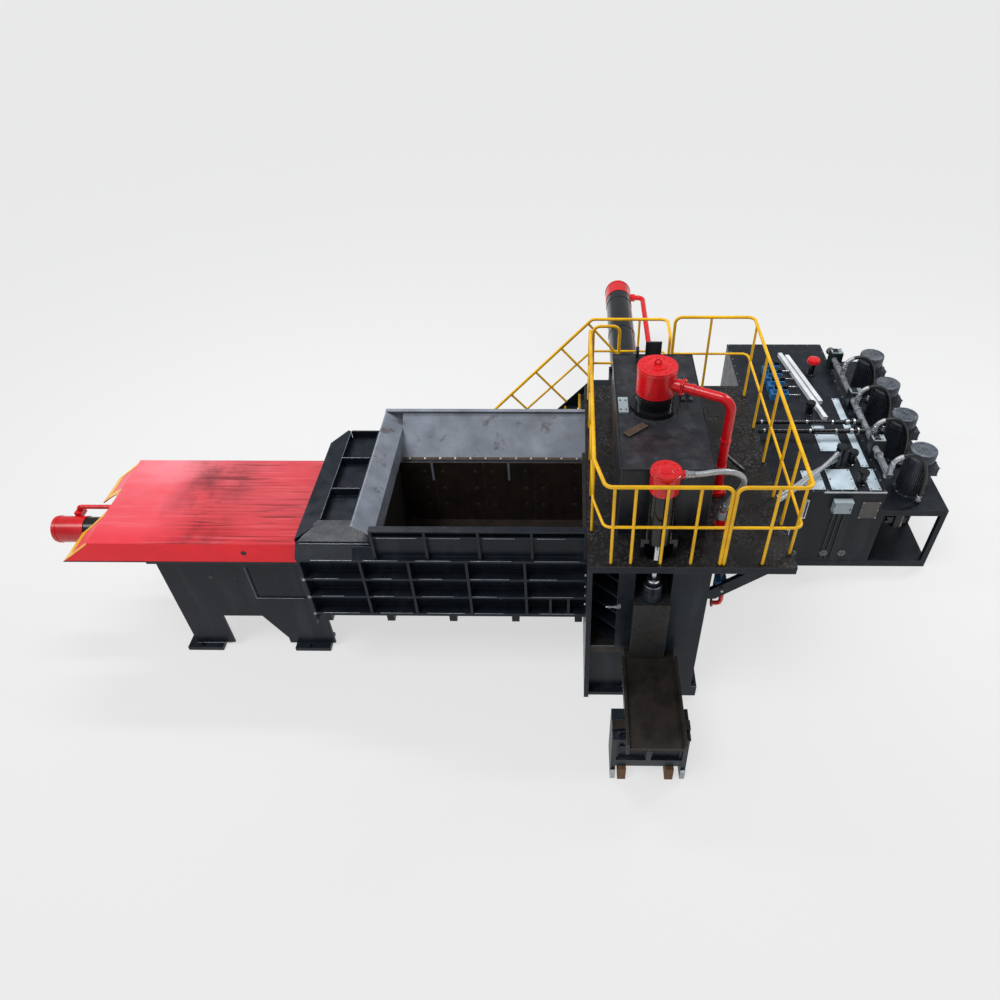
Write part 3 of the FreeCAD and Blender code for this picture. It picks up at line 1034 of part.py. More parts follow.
# ---------------------------------------------------------------- check and export
doc.recompute()
for item in doc.Objects:
    if "Invalid" in item.State or "Error" in item.State:
        raise RuntimeError(f"{item.Name} failed: {item.State}")
os.makedirs("parts", exist_ok=True)
for item in parts:
    shape = item.Shape
    if shape.isNull() or not shape.isValid() or not shape.Solids:
        raise RuntimeError(f"{item.Label} has no valid solid")
    shape.exportStep(f"parts/{item.Label}.step")
    box = shape.BoundBox
    print(f"{item.Label}: {len(shape.Solids)} solids, {shape.Volume / 1e9:.4f} m3, "
          f"x {box.XMin:.0f}..{box.XMax:.0f} y {box.YMin:.0f}..{box.YMax:.0f} "
          f"z {box.ZMin:.0f}..{box.ZMax:.0f}")
print(len(parts), "sub-parts")
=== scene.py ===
# %% [markdown]
# This lesson dresses a three-ram scrap baler: a long charging box with a red ram cover, a tall
# press frame with a railed deck, an outlet with a bale table, and a power unit with four motors.
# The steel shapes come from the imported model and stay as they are.  Each cell adds a finish or a
# small piece that the plain solids lack, in metres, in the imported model's own frame.

# %% Load the fixed frame
import math
import random

import bmesh
import bpy
from mathutils import Matrix, Vector


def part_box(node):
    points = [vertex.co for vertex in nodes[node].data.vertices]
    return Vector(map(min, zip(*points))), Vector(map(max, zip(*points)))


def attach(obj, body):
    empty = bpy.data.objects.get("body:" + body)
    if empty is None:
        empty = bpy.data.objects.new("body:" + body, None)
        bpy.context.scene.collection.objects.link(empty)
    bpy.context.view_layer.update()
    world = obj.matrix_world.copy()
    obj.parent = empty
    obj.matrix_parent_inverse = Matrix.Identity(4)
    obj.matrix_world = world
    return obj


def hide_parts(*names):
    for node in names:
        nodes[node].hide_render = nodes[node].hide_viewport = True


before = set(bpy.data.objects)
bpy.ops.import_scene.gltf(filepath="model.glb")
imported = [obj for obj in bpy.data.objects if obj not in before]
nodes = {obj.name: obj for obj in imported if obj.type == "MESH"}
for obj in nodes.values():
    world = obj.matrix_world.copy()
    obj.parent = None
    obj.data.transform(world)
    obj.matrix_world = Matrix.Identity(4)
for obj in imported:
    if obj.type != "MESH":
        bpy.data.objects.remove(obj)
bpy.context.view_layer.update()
scene = bpy.context.scene
UP, DOWN, FORWARD, BACKWARD, LEFTWARD, RIGHTWARD = (
    (0, 0, 1), (0, 0, -1), (0, -1, 0), (0, 1, 0), (-1, 0, 0), (1, 0, 0))
DECK_TOP, CROWN_TOP = 2.67, 3.6
MAIN_AXIS, EJECT_AXIS, HEADER_X, HEADER_Z = 1.617, 1.3228, 3.6, 1.7
FIRST_MOTOR, MOTOR_PITCH = 1.46, 0.89

# %% [markdown]
# The view looks down on the machine from the outlet side, from a little above the deck's guard
# rail.  A lens matrix is built from the three view axes, so the camera needs no aiming target.

# %% Camera
PITCH, YAW, ROLL = (math.radians(angle) for angle in (44.331, -1.293, -0.587))
EYE = Vector((-0.967, -7.542, 8.604))
ahead = Vector((math.sin(YAW) * math.cos(PITCH), math.cos(YAW) * math.cos(PITCH), -math.sin(PITCH)))
level = Vector((math.cos(YAW), -math.sin(YAW), 0))
rise = level.cross(ahead)
right = level * math.cos(ROLL) + rise * math.sin(ROLL)
up = rise * math.cos(ROLL) - level * math.sin(ROLL)
lens = bpy.data.cameras.new("camera")
lens.sensor_width, lens.lens = 36, 27.456
lens.shift_x, lens.shift_y = -0.05764, 0.05179
camera = bpy.data.objects.new("camera", lens)
camera.matrix_world = Matrix.Translation(EYE) @ Matrix((right, up, -ahead)).transposed().to_4x4()
scene.collection.objects.link(camera)
scene.camera = camera
print("camera at", tuple(EYE))

# %% [markdown]
# Colours are written as the hex codes a paint card would give.  Shaders work in linear light, so
# one function turns a code into the number a shader needs.

# %% Colour and node helpers
def shade(code, gain=1.0):
    """A linear colour from an sRGB hex code, made lighter or darker by gain."""
    parts = [int(code[i:i + 2], 16) / 255 for i in (1, 3, 5)]
    line = [part / 12.92 if part <= 0.04045 else ((part + 0.055) / 1.055) ** 2.4 for part in parts]
    return (*(min(1.0, part * gain) for part in line), 1.0)


def add(tree, kind, *values, out=0, **settings):
    """Add a node; values fill its inputs in order, and a dict among them fills inputs by name."""
    node = tree.nodes.new(kind)
    named = settings.pop("inputs", {})
    for name, value in settings.items():
        setattr(node, name, value)
    for name, value in [*enumerate(values), *named.items()]:
        if isinstance(value, bpy.types.NodeSocket):
            tree.links.new(value, node.inputs[name])
        elif value is not None:
            node.inputs[name].default_value = value
    return node.outputs[out] if node.outputs else node


def new_finish(name):
    """An empty material: its tree, its object coordinates and its shader."""
    finish = bpy.data.materials.new(name)
    finish.use_nodes = True
    tree = finish.node_tree
    tree.nodes.clear()
    place = add(tree, "ShaderNodeTexCoord", out="Object")
    shader = add(tree, "ShaderNodeBsdfPrincipled").node
    add(tree, "ShaderNodeOutputMaterial", shader.outputs[0])
    return finish, tree, place, shader


def spots(tree, place, size_mm, low, high, detail=5.0, stretch=(1, 1, 1)):
    """A mask of irregular spots about size_mm across, 0 under low and 1 over high."""
    scaled = add(tree, "ShaderNodeMapping", place, inputs={"Scale": stretch})
    noise = add(tree, "ShaderNodeTexNoise", scaled, inputs={"Scale": 1000 / size_mm, "Detail": detail,
                                                            "Roughness": 0.6})
    return add(tree, "ShaderNodeMapRange", noise, low, high)


def rubbed_edges(tree, radius_mm, place, size_mm):
    """A broken mask of the corners where a coat wears off, from a rounded normal."""
    soft = add(tree, "ShaderNodeBevel", radius_mm / 1000, samples=4)
    flat = add(tree, "ShaderNodeNewGeometry", out="Normal")
    near = add(tree, "ShaderNodeVectorMath", soft, flat, out="Value", operation="DOT_PRODUCT")
    worn = add(tree, "ShaderNodeMapRange", near, 0.995, 0.82)
    return add(tree, "ShaderNodeMath", worn, spots(tree, place, size_mm, 0.3, 0.62, 8.0), operation="MULTIPLY")


def upward(tree):
    """A mask of the surfaces that look up, where dust settles and where the cover's painted sheen lies."""
    normal = add(tree, "ShaderNodeNewGeometry", out="Normal")
    return add(tree, "ShaderNodeMapRange", add(tree, "ShaderNodeSeparateXYZ", normal, out="Z"), 0.6, 0.95)


def coats(tree, tone, *layers):
    """Lay colours over a tone; a layer is a colour, its strength and the masks it shows through.

    A colour is a hex code, a linear colour or a socket."""
    for code, strength, *masks in layers:
        for mask in masks:
            strength = add(tree, "ShaderNodeMath", mask, strength, operation="MULTIPLY")
        top = shade(code) if isinstance(code, str) else code
        tone = add(tree, "ShaderNodeMixRGB", strength, tone, top)
    return tone


def surface(tree, shader, tone, gloss, rough, bump, strength, depth_mm):
    """Join a tone, a roughness range and a bump to the shader."""
    tree.links.new(tone, shader.inputs["Base Color"])
    spread = add(tree, "ShaderNodeMapRange", gloss, inputs={"To Min": rough[0], "To Max": rough[1]})
    tree.links.new(spread, shader.inputs["Roughness"])
    relief = add(tree, "ShaderNodeBump", inputs={"Height": bump, "Strength": strength,
                                                 "Distance": depth_mm / 1000})
    tree.links.new(relief, shader.inputs["Normal"])


# %% [markdown]
# Most of the machine is welded plate sprayed with enamel.  A sprayed coat has an orange peel a
# few millimetres across, darker and paler patches, rubbed corners and dust on what faces up.  One
# recipe with different numbers serves every enamel, because only the colour and wear differ.

# %% Enamel over steel
def enamel(name, code, worn="#7d858e", dust="#4a4c50", rough=0.42, wear=0.7, dusty=0.35, rust=0.0,
           patch_mm=500, rust_place=None, coat=0.0, edge_mm=9, shine=0.2):
    """Sprayed paint: tone patches, rubbed edges, dust, rust spots and orange peel."""
    finish, tree, place, shader = new_finish(name)
    patches = spots(tree, place, patch_mm, 0.3, 0.7)
    tone = coats(tree, shade(code, 0.72), (shade(code, 1.22), 1.0, patches),
                 (dust, dusty, upward(tree), spots(tree, place, 180, 0.38, 0.75, 8.0)),
                 (worn, 0.16, spots(tree, place, 220, 0.52, 0.8, 6.0, (1.0, 1.0, 0.12))),
                 (worn, wear, rubbed_edges(tree, edge_mm, place, 55)),
                 (worn, wear * 0.6, spots(tree, place, 34, 0.70, 0.735, 6.0)))
    if rust:
        spread = spots(tree, place, 240, 0.60, 0.68, 9.0)
        if rust_place:
            reach = add(tree, "ShaderNodeVectorMath", place, rust_place[:3], out="Value", operation="DISTANCE")
            near = add(tree, "ShaderNodeMapRange", reach, rust_place[3], 0.0)
            blob = add(tree, "ShaderNodeMath", near, spots(tree, place, 300, 0.2, 0.8), operation="ADD")
            spread = add(tree, "ShaderNodeMapRange", blob, 0.92, 1.02)
        brown = coats(tree, shade("#5a4330"), ("#33251b", 1.0, spots(tree, place, 60, 0.35, 0.65, 8.0)))
        tone = coats(tree, tone, (brown, rust, spread))
    shader.inputs["Coat Weight"].default_value = coat
    shader.inputs["Specular IOR Level"].default_value = shine
    surface(tree, shader, tone, spots(tree, place, 120, 0.2, 0.8), (rough - 0.1, rough + 0.14),
            spots(tree, place, 9, 0.35, 0.65, 2.0), 0.12, 0.8)
    return finish


frame_enamel = enamel("slate_enamel_on_plate", "#161c24", worn="#59626c", dust="#2c3138", rough=0.3, wear=0.6,
                      dusty=0.3)
crown_enamel = enamel("slate_enamel_on_crown", "#1f2126", worn="#8d8f92", dust="#46464a", dusty=0.5, rust=0.8,
                      rust_place=(-0.62, 0.35, 2.9, 0.95), patch_mm=600, rough=0.3, shine=0.3)
leg_enamel = enamel("slate_enamel_on_legs", "#1a2129", worn="#5d676e", dust="#2c3138", dusty=0.2, rough=0.34)
unit_enamel = enamel("grey_enamel_on_tank", "#181c22", worn="#59606a", dust="#2b2f34", dusty=0.5, rough=0.32)
motor_enamel = enamel("grey_enamel_on_motors", "#262c34", worn="#70767f", dust="#4c525a", dusty=0.7,
                      rough=0.3, shine=0.35)
red_enamel = enamel("red_enamel_gloss", "#d80a16", worn="#c4787a", dust="#a8302f", rough=0.26, wear=0.35,
                    dusty=0.15, coat=0.3, shine=0.4)
yellow_enamel = enamel("yellow_enamel_gloss", "#f0b400", worn="#8a6a1c", dust="#c99a1c", rough=0.33,
                       wear=0.3, dusty=0.12, edge_mm=4, shine=0.4)
black_enamel = enamel("black_enamel_gloss", "#101114", worn="#43464b", dust="#2a2a2b", rough=0.22,
                      wear=0.4, dusty=0.25, coat=0.4)
pale_enamel = enamel("pale_grey_box_enamel", "#9aa7ad", worn="#c4ccd0", dust="#8b9498", rough=0.4,
                     wear=0.25, dusty=0.2, shine=0.4)
collar_enamel = enamel("grey_blue_collar_enamel", "#7a808b", worn="#b4b8be", dust="#8f939a", rough=0.5,
                       wear=0.7, dusty=0.3, rust=0.5, patch_mm=320)
green_enamel = enamel("dark_green_block_enamel", "#12211e", worn="#4b5a55", dust="#26332f", rough=0.35,
                      wear=0.3, dusty=0.2, shine=0.4)
blue_enamel = enamel("blue_valve_enamel", "#2d6fa6", worn="#7fa3c0", dust="#43708f", rough=0.35, wear=0.3,
                     dusty=0.2, shine=0.4)
print("enamels made")

# %% [markdown]
# Bare steel is a metal, so it keeps the default index of refraction and takes its look from its
# colour and roughness.  Scrap scrapes it in one direction, so its noise is stretched that way, and
# a brown film of rust and ground dirt lies over most of it.

# %% Bare and rusted steel
def steel(name, code, film, amount, stretch, rough=0.45, metal=0.8, size_mm=90, fine_mm=14, painted_under=None):
    """Worked steel under a film of dirt, scratched along one axis, and painted below a height."""
    finish, tree, place, shader = new_finish(name)
    score = spots(tree, place, size_mm, 0.35, 0.68, 9.0, stretch)
    soil = spots(tree, place, 260, 0.36, 0.62, 8.0)
    lid = add(tree, "ShaderNodeMapRange", soil, inputs={"To Min": amount * 0.35, "To Max": amount})
    grain = coats(tree, shade(film, 0.75), (shade(film, 1.35), 1.0, spots(tree, place, 22, 0.3, 0.7)))
    tone = coats(tree, shade(code, 0.6), (shade(code, 1.5), 1.0, score), (grain, 1.0, lid),
                 ("#8f8d88", 0.6, rubbed_edges(tree, 6, place, 40)))
    if painted_under:
        height = add(tree, "ShaderNodeSeparateXYZ", place, out="Z")
        under = add(tree, "ShaderNodeMath", height, painted_under, operation="LESS_THAN")
        slate = coats(tree, shade("#11161c"), ("#222931", 1.0, spots(tree, place, 200, 0.3, 0.7)),
                      ("#6c747c", 0.5, rubbed_edges(tree, 6, place, 60)))
        tone = coats(tree, tone, (slate, 1.0, under))
        lid = add(tree, "ShaderNodeMath", lid, under, operation="MAXIMUM")
    bare = add(tree, "ShaderNodeMapRange", lid, inputs={"To Min": metal, "To Max": 0.05})
    tree.links.new(bare, shader.inputs["Metallic"])
    grit = spots(tree, place, fine_mm, 0.3, 0.7, 4.0)
    surface(tree, shader, tone, grit, (rough - 0.08, rough + 0.22), grit, 0.35, 1.5)
    return finish


liner_steel = steel("rusted_wear_plate", "#2c2724", "#291d16", 0.9, (1, 1, 0.15), 0.55)
ram_steel = steel("scraped_ram_steel", "#33312f", "#26221f", 0.7, (0.1, 1, 1), 0.4)
gate_steel = steel("speckled_gate_steel", "#363634", "#262624", 0.8, (1, 1, 0.5), 0.55, size_mm=30)
table_steel = steel("brown_table_steel", "#221e1b", "#1e1712", 0.85, (1, 0.12, 1), 0.42, painted_under=0.895)
rust_steel = steel("rusted_strip", "#4c4036", "#4a372b", 0.9, (1, 1, 1), 0.6, size_mm=40)
plated_steel = steel("zinc_plated_steel", "#a9adb2", "#7c7f83", 0.18, (1, 1, 1), 0.28, metal=0.95)
chrome = steel("hard_chrome_rod", "#c9ccd0", "#8e9093", 0.08, (1, 1, 0.05), 0.16, metal=1.0)
print("steels made")

# %% [markdown]
# The ram's cover is the largest sheet in view.  Scrap slides along it, so its enamel is rubbed in
# long scratches, with dark smears of oil.  A pinkish sheen over its upward faces is a painted
# reflection that grows towards the far side.

# %% Worn cover enamel
def cover_coat():
    finish, tree, place, shader = new_finish("rubbed_red_cover_enamel_painted_sheen")
    top = upward(tree)
    split = add(tree, "ShaderNodeSeparateXYZ", place, out="X").node
    along = split.outputs["X"]
    # This mask places the cover's painted sheen: a pale pink reflection, stronger towards the far side.
    painted_sheen = add(tree, "ShaderNodeMath", spots(tree, place, 900, 0.22, 0.6, 6.0, (0.6, 1, 1)),
               add(tree, "ShaderNodeMapRange", split.outputs["Y"], -0.9, 0.8), operation="MULTIPLY")
    belt = add(tree, "ShaderNodeMath", add(tree, "ShaderNodeMapRange", along, -6.35, -5.75),
               add(tree, "ShaderNodeMapRange", along, -5.1, -5.6), operation="MULTIPLY")
    worked = add(tree, "ShaderNodeMapRange", along, -6.3, -5.7)
    long_marks = spots(tree, place, 60, 0.54, 0.68, 6.0, (0.05, 1, 1))
    # The pale pink layer over the upward faces is a painted sheen; the dark layers are scratches and smears of
    # oil.
    tone = coats(tree, shade("#e20c1a"), ("#fb1a2a", 1.0, spots(tree, place, 700, 0.3, 0.7)),
                 ("#f2b4be", 0.9, top, painted_sheen), ("#d0404c", 0.55, top),
                 ("#b3121c", 0.6, top, worked),
                 ("#e56a74", 0.5, top, long_marks),
                 ("#6a0c12", 0.75, top, worked, spots(tree, place, 34, 0.52, 0.66, 6.0, (0.04, 1, 1))),
                 ("#3a0d10", 0.8, top, worked, spots(tree, place, 26, 0.69, 0.73, 6.0, (0.3, 1, 1))),
                 ("#3c1015", 0.72, top, belt, spots(tree, place, 420, 0.42, 0.66, 9.0, (1, 0.6, 1))),
                 ("#7d4444", 0.5, rubbed_edges(tree, 10, place, 50)))
    shader.inputs["Specular IOR Level"].default_value = 0.3
    surface(tree, shader, tone, painted_sheen, (0.3, 0.5), long_marks, 0.2, 1.0)
    return finish


cover_enamel = cover_coat()

# %% [markdown]
# The deck is chequer plate, rolled with raised lozenges that stop boots slipping.  The real
# lozenges are about 30 mm long; a turned grid of raised bars, lit by a bump, gives that glint.

# %% Chequer plate, timber, rubber and braid
def chequer_plate():
    finish, tree, place, shader = new_finish("chequer_plate_dark_paint")
    turned = add(tree, "ShaderNodeMapping", place, inputs={"Rotation": (0, 0, math.pi / 4)})
    cells = add(tree, "ShaderNodeTexVoronoi", turned, inputs={"Scale": 1000 / 45}, distance="CHEBYCHEV")
    raised = add(tree, "ShaderNodeMapRange", cells, 0.42, 0.2)
    tone = coats(tree, shade("#101011"), ("#201e1f", 1.0, spots(tree, place, 420, 0.3, 0.7)),
                 ("#332f2d", 0.3, spots(tree, place, 160, 0.55, 0.8, 9.0)),
                 ("#77757a", 0.3, raised, spots(tree, place, 500, 0.4, 0.7)))
    shader.inputs["Specular IOR Level"].default_value = 0.3
    surface(tree, shader, tone, spots(tree, place, 300, 0.3, 0.7), (0.16, 0.42), raised, 0.35, 2.0)
    return finish


def sawn_timber():
    finish, tree, place, shader = new_finish("rough_sawn_timber")
    grain = spots(tree, place, 12, 0.3, 0.7, 8.0, (1, 0.06, 1))
    tone = coats(tree, shade("#3d2718"), ("#7c5533", 1.0, grain))
    surface(tree, shader, tone, grain, (0.7, 0.9), grain, 0.6, 1.0)
    return finish


def hose_skin(name, code, metal, rough):
    """A woven hose jacket; its weave of 2 mm is drawn 9 mm coarse, enough to show."""
    finish, tree, place, shader = new_finish(name)
    weave = add(tree, "ShaderNodeTexVoronoi", place, inputs={"Scale": 1000 / 9})
    tone = coats(tree, shade(code, 1.25), (shade(code, 0.6), 1.0, weave))
    shader.inputs["Metallic"].default_value = metal
    surface(tree, shader, tone, weave, (rough, rough + 0.15), weave, 0.4, 1.0)
    return finish


deck_plate_coat = chequer_plate()
timber = sawn_timber()
rubber = hose_skin("black_rubber_hose", "#141416", 0.0, 0.42)
braid = hose_skin("silver_fire_sleeve", "#b4b8bb", 0.55, 0.36)
print("sheet, timber and hose finishes made")

# %% [markdown]
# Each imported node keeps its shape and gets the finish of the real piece.  A node with several
# solids of different colour gets small painted pieces laid over it later.

# %% Give every node its finish
FINISHES = {
    frame_enamel: ("box_walls", "box_floor", "press_left_plate", "press_base", "throat_sides", "throat_roof",
                   "ram_frame_sides", "ram_frame_ties", "deck_frame", "stairs", "hopper_front_wall",
                   "eject_guide_box", "hold_down_beam"),
    leg_enamel: ("press_right_column",),
    crown_enamel: ("press_crown", "crown_fittings"),
    unit_enamel: ("oil_tank", "tank_lid", "power_unit_frame"),
    motor_enamel: ("motor_housings", "motor_fan_cowls"),
    red_enamel: ("press_cylinder_cap", "gate_cylinder_cap", "eject_cylinder_cap", "main_cylinder_cap",
                 "cylinder_pipes"),
    yellow_enamel: ("railings", "stair_railing"),
    black_enamel: ("press_cylinder_tube", "gate_cylinder_tube", "eject_cylinder_tube",
                   "main_cylinder_tube", "pumps", "tank_top_fittings", "feed_pipes"),
    pale_enamel: ("tank_front_fittings",),
    collar_enamel: ("hopper_rear_wall", "hopper_left_wall"),
    green_enamel: ("pressure_manifold",),
    liner_steel: ("box_liners",),
    ram_steel: ("chamber_floor", "main_ram_head", "press_ram", "eject_ram", "shear_blade", "motor_rotor_1",
                "motor_rotor_2", "motor_rotor_3", "motor_rotor_4"),
    gate_steel: ("outlet_gate",),
    table_steel: ("bale_table",),
    chrome: ("main_piston_rod", "press_piston_rod", "gate_piston_rod", "eject_piston_rod"),
    cover_enamel: ("main_ram_cover",),
    deck_plate_coat: ("deck_plate",),
    timber: ("wood_blocks",),
    rubber: ("pump_hoses", "deck_hoses"),
}
for finish, names in FINISHES.items():
    for name in names:
        nodes[name].data.materials.clear()
        nodes[name].data.materials.append(finish)
unpainted = set(nodes) - {name for names in FINISHES.values() for name in names}
print("nodes without a finish:", sorted(unpainted))

# %% [markdown]
# A studio for a machine this size is a wide pale floor, an even pale surround, a soft sun high on
# the left and two strip lamps over the ends, which draw highlights on the painted tubes.  The
# floor glows a little, which keeps its tone even under the machine.

# %% Floor, surround and light
floor_mesh = bpy.data.meshes.new("floor")
FLOOR_HALF = 90
floor_mesh.from_pydata([(x, y, -0.001) for x, y in ((-1, -1), (1, -1), (1, 1), (-1, 1))], [], [(0, 1, 2, 3)])
floor_mesh.transform(Matrix.Diagonal((FLOOR_HALF, FLOOR_HALF, 1, 1)))
floor = bpy.data.objects.new("floor", floor_mesh)
scene.collection.objects.link(floor)
floor_finish, _, _, floor_shader = new_finish("pale_studio_floor")
floor_shader.inputs["Base Color"].default_value = shade("#7c7c7c")
floor_shader.inputs["Roughness"].default_value = 0.9
floor_shader.inputs["Emission Color"].default_value = shade("#ffffff")
floor_shader.inputs["Emission Strength"].default_value = 0.63
floor_mesh.materials.append(floor_finish)

world = bpy.data.worlds.new("surround")
scene.world = world
world.use_nodes = True
world.node_tree.nodes["Background"].inputs["Color"].default_value = shade("#eef1f6")
world.node_tree.nodes["Background"].inputs["Strength"].default_value = 0.42
sun = bpy.data.lights.new("soft_key", "SUN")
sun.energy, sun.angle = 1.5, math.radians(30)
key = bpy.data.objects.new("soft_key", sun)
key.rotation_euler = Vector((0.4, 0.3, -1.0)).to_track_quat("-Z", "Y").to_euler()
scene.collection.objects.link(key)
for index, (x, y) in enumerate(((-6.0, 3.5), (6.5, 3.0))):
    strip = bpy.data.lights.new(f"hall_strip_{index}", "AREA")
    strip.shape, strip.size, strip.size_y, strip.energy = "RECTANGLE", 5.0, 0.7, 420
    lamp = bpy.data.objects.new(f"hall_strip_{index}", strip)
    lamp.location = (x, y, 9.5)
    lamp.rotation_euler = (0, 0, math.radians(20 * index))
    scene.collection.objects.link(lamp)
scene.view_settings.view_transform = "Standard"

# %% [markdown]
# Seven hoses are drawn: four black pump hoses that rise from the header pipe and drop to the
# pump ports, and three silver ones to the press.  Each is one smooth NURBS line through its
# route's points, which bends as a hose does; a bevel gives it its 60 mm diameter.

# %% Hoses
HOSE_RADIUS = 0.03


def hose(name, route, finish):
    """A hose along a smooth line; it returns the piece, the line's points and its length."""
    curve = bpy.data.curves.new(name, "CURVE")
    curve.dimensions = "3D"
    spline = curve.splines.new("NURBS")
    spline.points.add(len(route) - 1)
    for spot, point in zip(spline.points, route):
        spot.co = (*point, 1.0)
    spline.order_u = 3
    spline.use_endpoint_u = True
    curve.resolution_u = 8
    item = bpy.data.objects.new(name, curve)
    scene.collection.objects.link(item)
    run = bpy.data.meshes.new_from_object(item)
    line = [vertex.co.copy() for vertex in run.vertices]
    bpy.data.meshes.remove(run)
    curve.bevel_depth, curve.bevel_resolution, curve.use_fill_caps = HOSE_RADIUS, 5, True
    curve.materials.append(finish)
    length = sum((b - a).length for a, b in zip(line, line[1:]))
    print(name, "length", round(length, 3))
    return item, line, length


hoses = []
for index in range(4):
    lane = FIRST_MOTOR + MOTOR_PITCH * index - 0.33
    hoses.append((*hose(f"pump_hose_{index + 1}", [
        (3.6, lane, 1.84), (3.6, lane, 1.94), (3.69, lane + 0.003, 2.03), (3.84, lane + 0.008, 2.06),
        (3.985, lane + 0.014, 1.995), (4.09, lane + 0.018, 1.85), (4.15, lane + 0.014, 1.65),
        (4.17, lane + 0.008, 1.43), (4.17, lane + 0.008, 1.22)], rubber), "pump_hoses"))
BRAIDED = {
    "gate_hose": [
        (0.195, -1.45, 3.755), (0.34, -1.45, 3.755), (0.49, -1.446, 3.785), (0.65, -1.425, 3.778),
        (0.785, -1.372, 3.69), (0.86, -1.29, 3.55), (0.872, -1.195, 3.385), (0.838, -1.115, 3.22),
        (0.79, -1.058, 3.065), (0.757, -1.029, 2.9133)],
    "upper_column_hose": [
        (2.957, 1.53, 1.79), (2.8, 1.35, 1.79), (2.61, 1.14, 1.8), (2.4, 0.915, 1.815), (2.19, 0.7, 1.83),
        (1.97, 0.48, 1.85), (1.74, 0.28, 1.87), (1.48, 0.12, 1.885), (1.2, 0.02, 1.89), (0.92, -0.02, 1.89),
        (0.65, -0.02, 1.89)],
    "lower_column_hose": [
        (2.9486, 1.5382, 1.67), (2.77, 1.387, 1.67), (2.56, 1.215, 1.69), (2.35, 1.0, 1.705),
        (2.13, 0.785, 1.72), (1.9, 0.585, 1.745), (1.65, 0.4, 1.765), (1.39, 0.26, 1.78), (1.13, 0.17, 1.79),
        (0.89, 0.14, 1.79), (0.65, 0.14, 1.79)],
}
for name, route in BRAIDED.items():
    hoses.append((*hose(name, route, braid), "deck_hoses"))

# %% [markdown]
# Small pieces are drawn in bmesh from four kinds of form: a bar, a plate cut from an outline, a
# form turned on a lathe, and a rod along a path.  One helper gives each finished piece its smooth
# shading, its finish and the machine body that it moves with.

# %% Forms
def bar(shape, low, high, turn=None):
    """A rectangular bar between two corners, turned about its middle."""
    made = bmesh.ops.create_cube(shape, size=1.0)["verts"]
    size = [b - a for a, b in zip(low, high)]
    middle = Vector([(a + b) / 2 for a, b in zip(low, high)])
    spin = turn.to_4x4() if turn else Matrix.Identity(4)
    bmesh.ops.transform(shape, verts=made,
                        matrix=Matrix.Translation(middle) @ spin @ Matrix.Diagonal((*size, 1)))


def slab(shape, outline, thickness):
    """A plate: an outline of corners in space, thickened by a vector."""
    near = [shape.verts.new(Vector(corner)) for corner in outline]
    far = [shape.verts.new(Vector(corner) + Vector(thickness)) for corner in outline]
    count = len(outline)
    shape.faces.new(near)
    shape.faces.new(far[::-1])
    for i in range(count):
        j = (i + 1) % count
        shape.faces.new((near[i], far[i], far[j], near[j]))


def turned(shape, profile, foot, axis=UP, steps=32):
    """A lathe form: pairs of radius and height about an axis through foot."""
    place = Matrix.Translation(Vector(foot)) @ Vector(axis).to_track_quat("Z", "Y").to_matrix().to_4x4()
    rings = []
    for radius, height in profile:
        count = steps if radius > 1e-6 else 1
        turns = [2 * math.pi * i / steps for i in range(count)]
        rings.append([shape.verts.new(place @ Vector((radius * math.cos(a), radius * math.sin(a), height)))
                      for a in turns])
    for lower, upper in zip(rings, rings[1:]):
        for i in range(steps):
            j = (i + 1) % steps
            corners = dict.fromkeys((lower[i % len(lower)], lower[j % len(lower)],
                                     upper[j % len(upper)], upper[i % len(upper)]))
            if len(corners) > 2:
                shape.faces.new(corners)


def collar(shape, inner, outer, height, foot, axis=UP, steps=32):
    """A plain turned ring with square edges, or a disc where its inner radius is 0."""
    turned(shape, [(inner, 0.0), (outer, 0.0), (outer, height), (inner, height)], foot, axis, steps)


def rod(shape, path, radius, steps=12):
    """A round rod along a path of points, closed at both ends."""
    points = [Vector(point) for point in path]
    side, rings = None, []
    for i, point in enumerate(points):
        run = (points[min(i + 1, len(points) - 1)] - points[max(i - 1, 0)]).normalized()
        side = (side or run.orthogonal())
        side = (side - run * side.dot(run)).normalized()
        other = run.cross(side)
        rings.append([shape.verts.new(point + side * radius * math.cos(2 * math.pi * k / steps)
                                      + other * radius * math.sin(2 * math.pi * k / steps))
                      for k in range(steps)])
    for lower, upper in zip(rings, rings[1:]):
        for k in range(steps):
            m = (k + 1) % steps
            shape.faces.new((lower[k], lower[m], upper[m], upper[k]))
    shape.faces.new(rings[0][::-1])
    shape.faces.new(rings[-1])


def piece(name, shape, finish, body="machine", bevel_mm=0.0, stands_for=()):
    """A finished piece: faces out, eased edges, its finish, its body and the node it stands for."""
    bmesh.ops.recalc_face_normals(shape, faces=shape.faces)
    mesh = bpy.data.meshes.new(name)
    shape.to_mesh(mesh)
    shape.free()
    mesh.polygons.foreach_set("use_smooth", [True] * len(mesh.polygons))
    mesh.set_sharp_from_angle(angle=math.radians(35))
    mesh.materials.append(finish)
    item = bpy.data.objects.new(name, mesh)
    scene.collection.objects.link(item)
    if bevel_mm:
        ease = item.modifiers.new("eased_edges", "BEVEL")
        ease.width, ease.segments, ease.limit_method = bevel_mm / 1000, 2, "ANGLE"
    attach(item, body)
    if stands_for:
        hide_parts(*stands_for)
    print(name, len(mesh.polygons), "faces")
    return item


# %% [markdown]
# A hydraulic hose ends in a swaged steel sleeve and a hexagon nut.  They follow the first and
# last stretch of the hose's own line, so they sit on it whatever way it leaves.

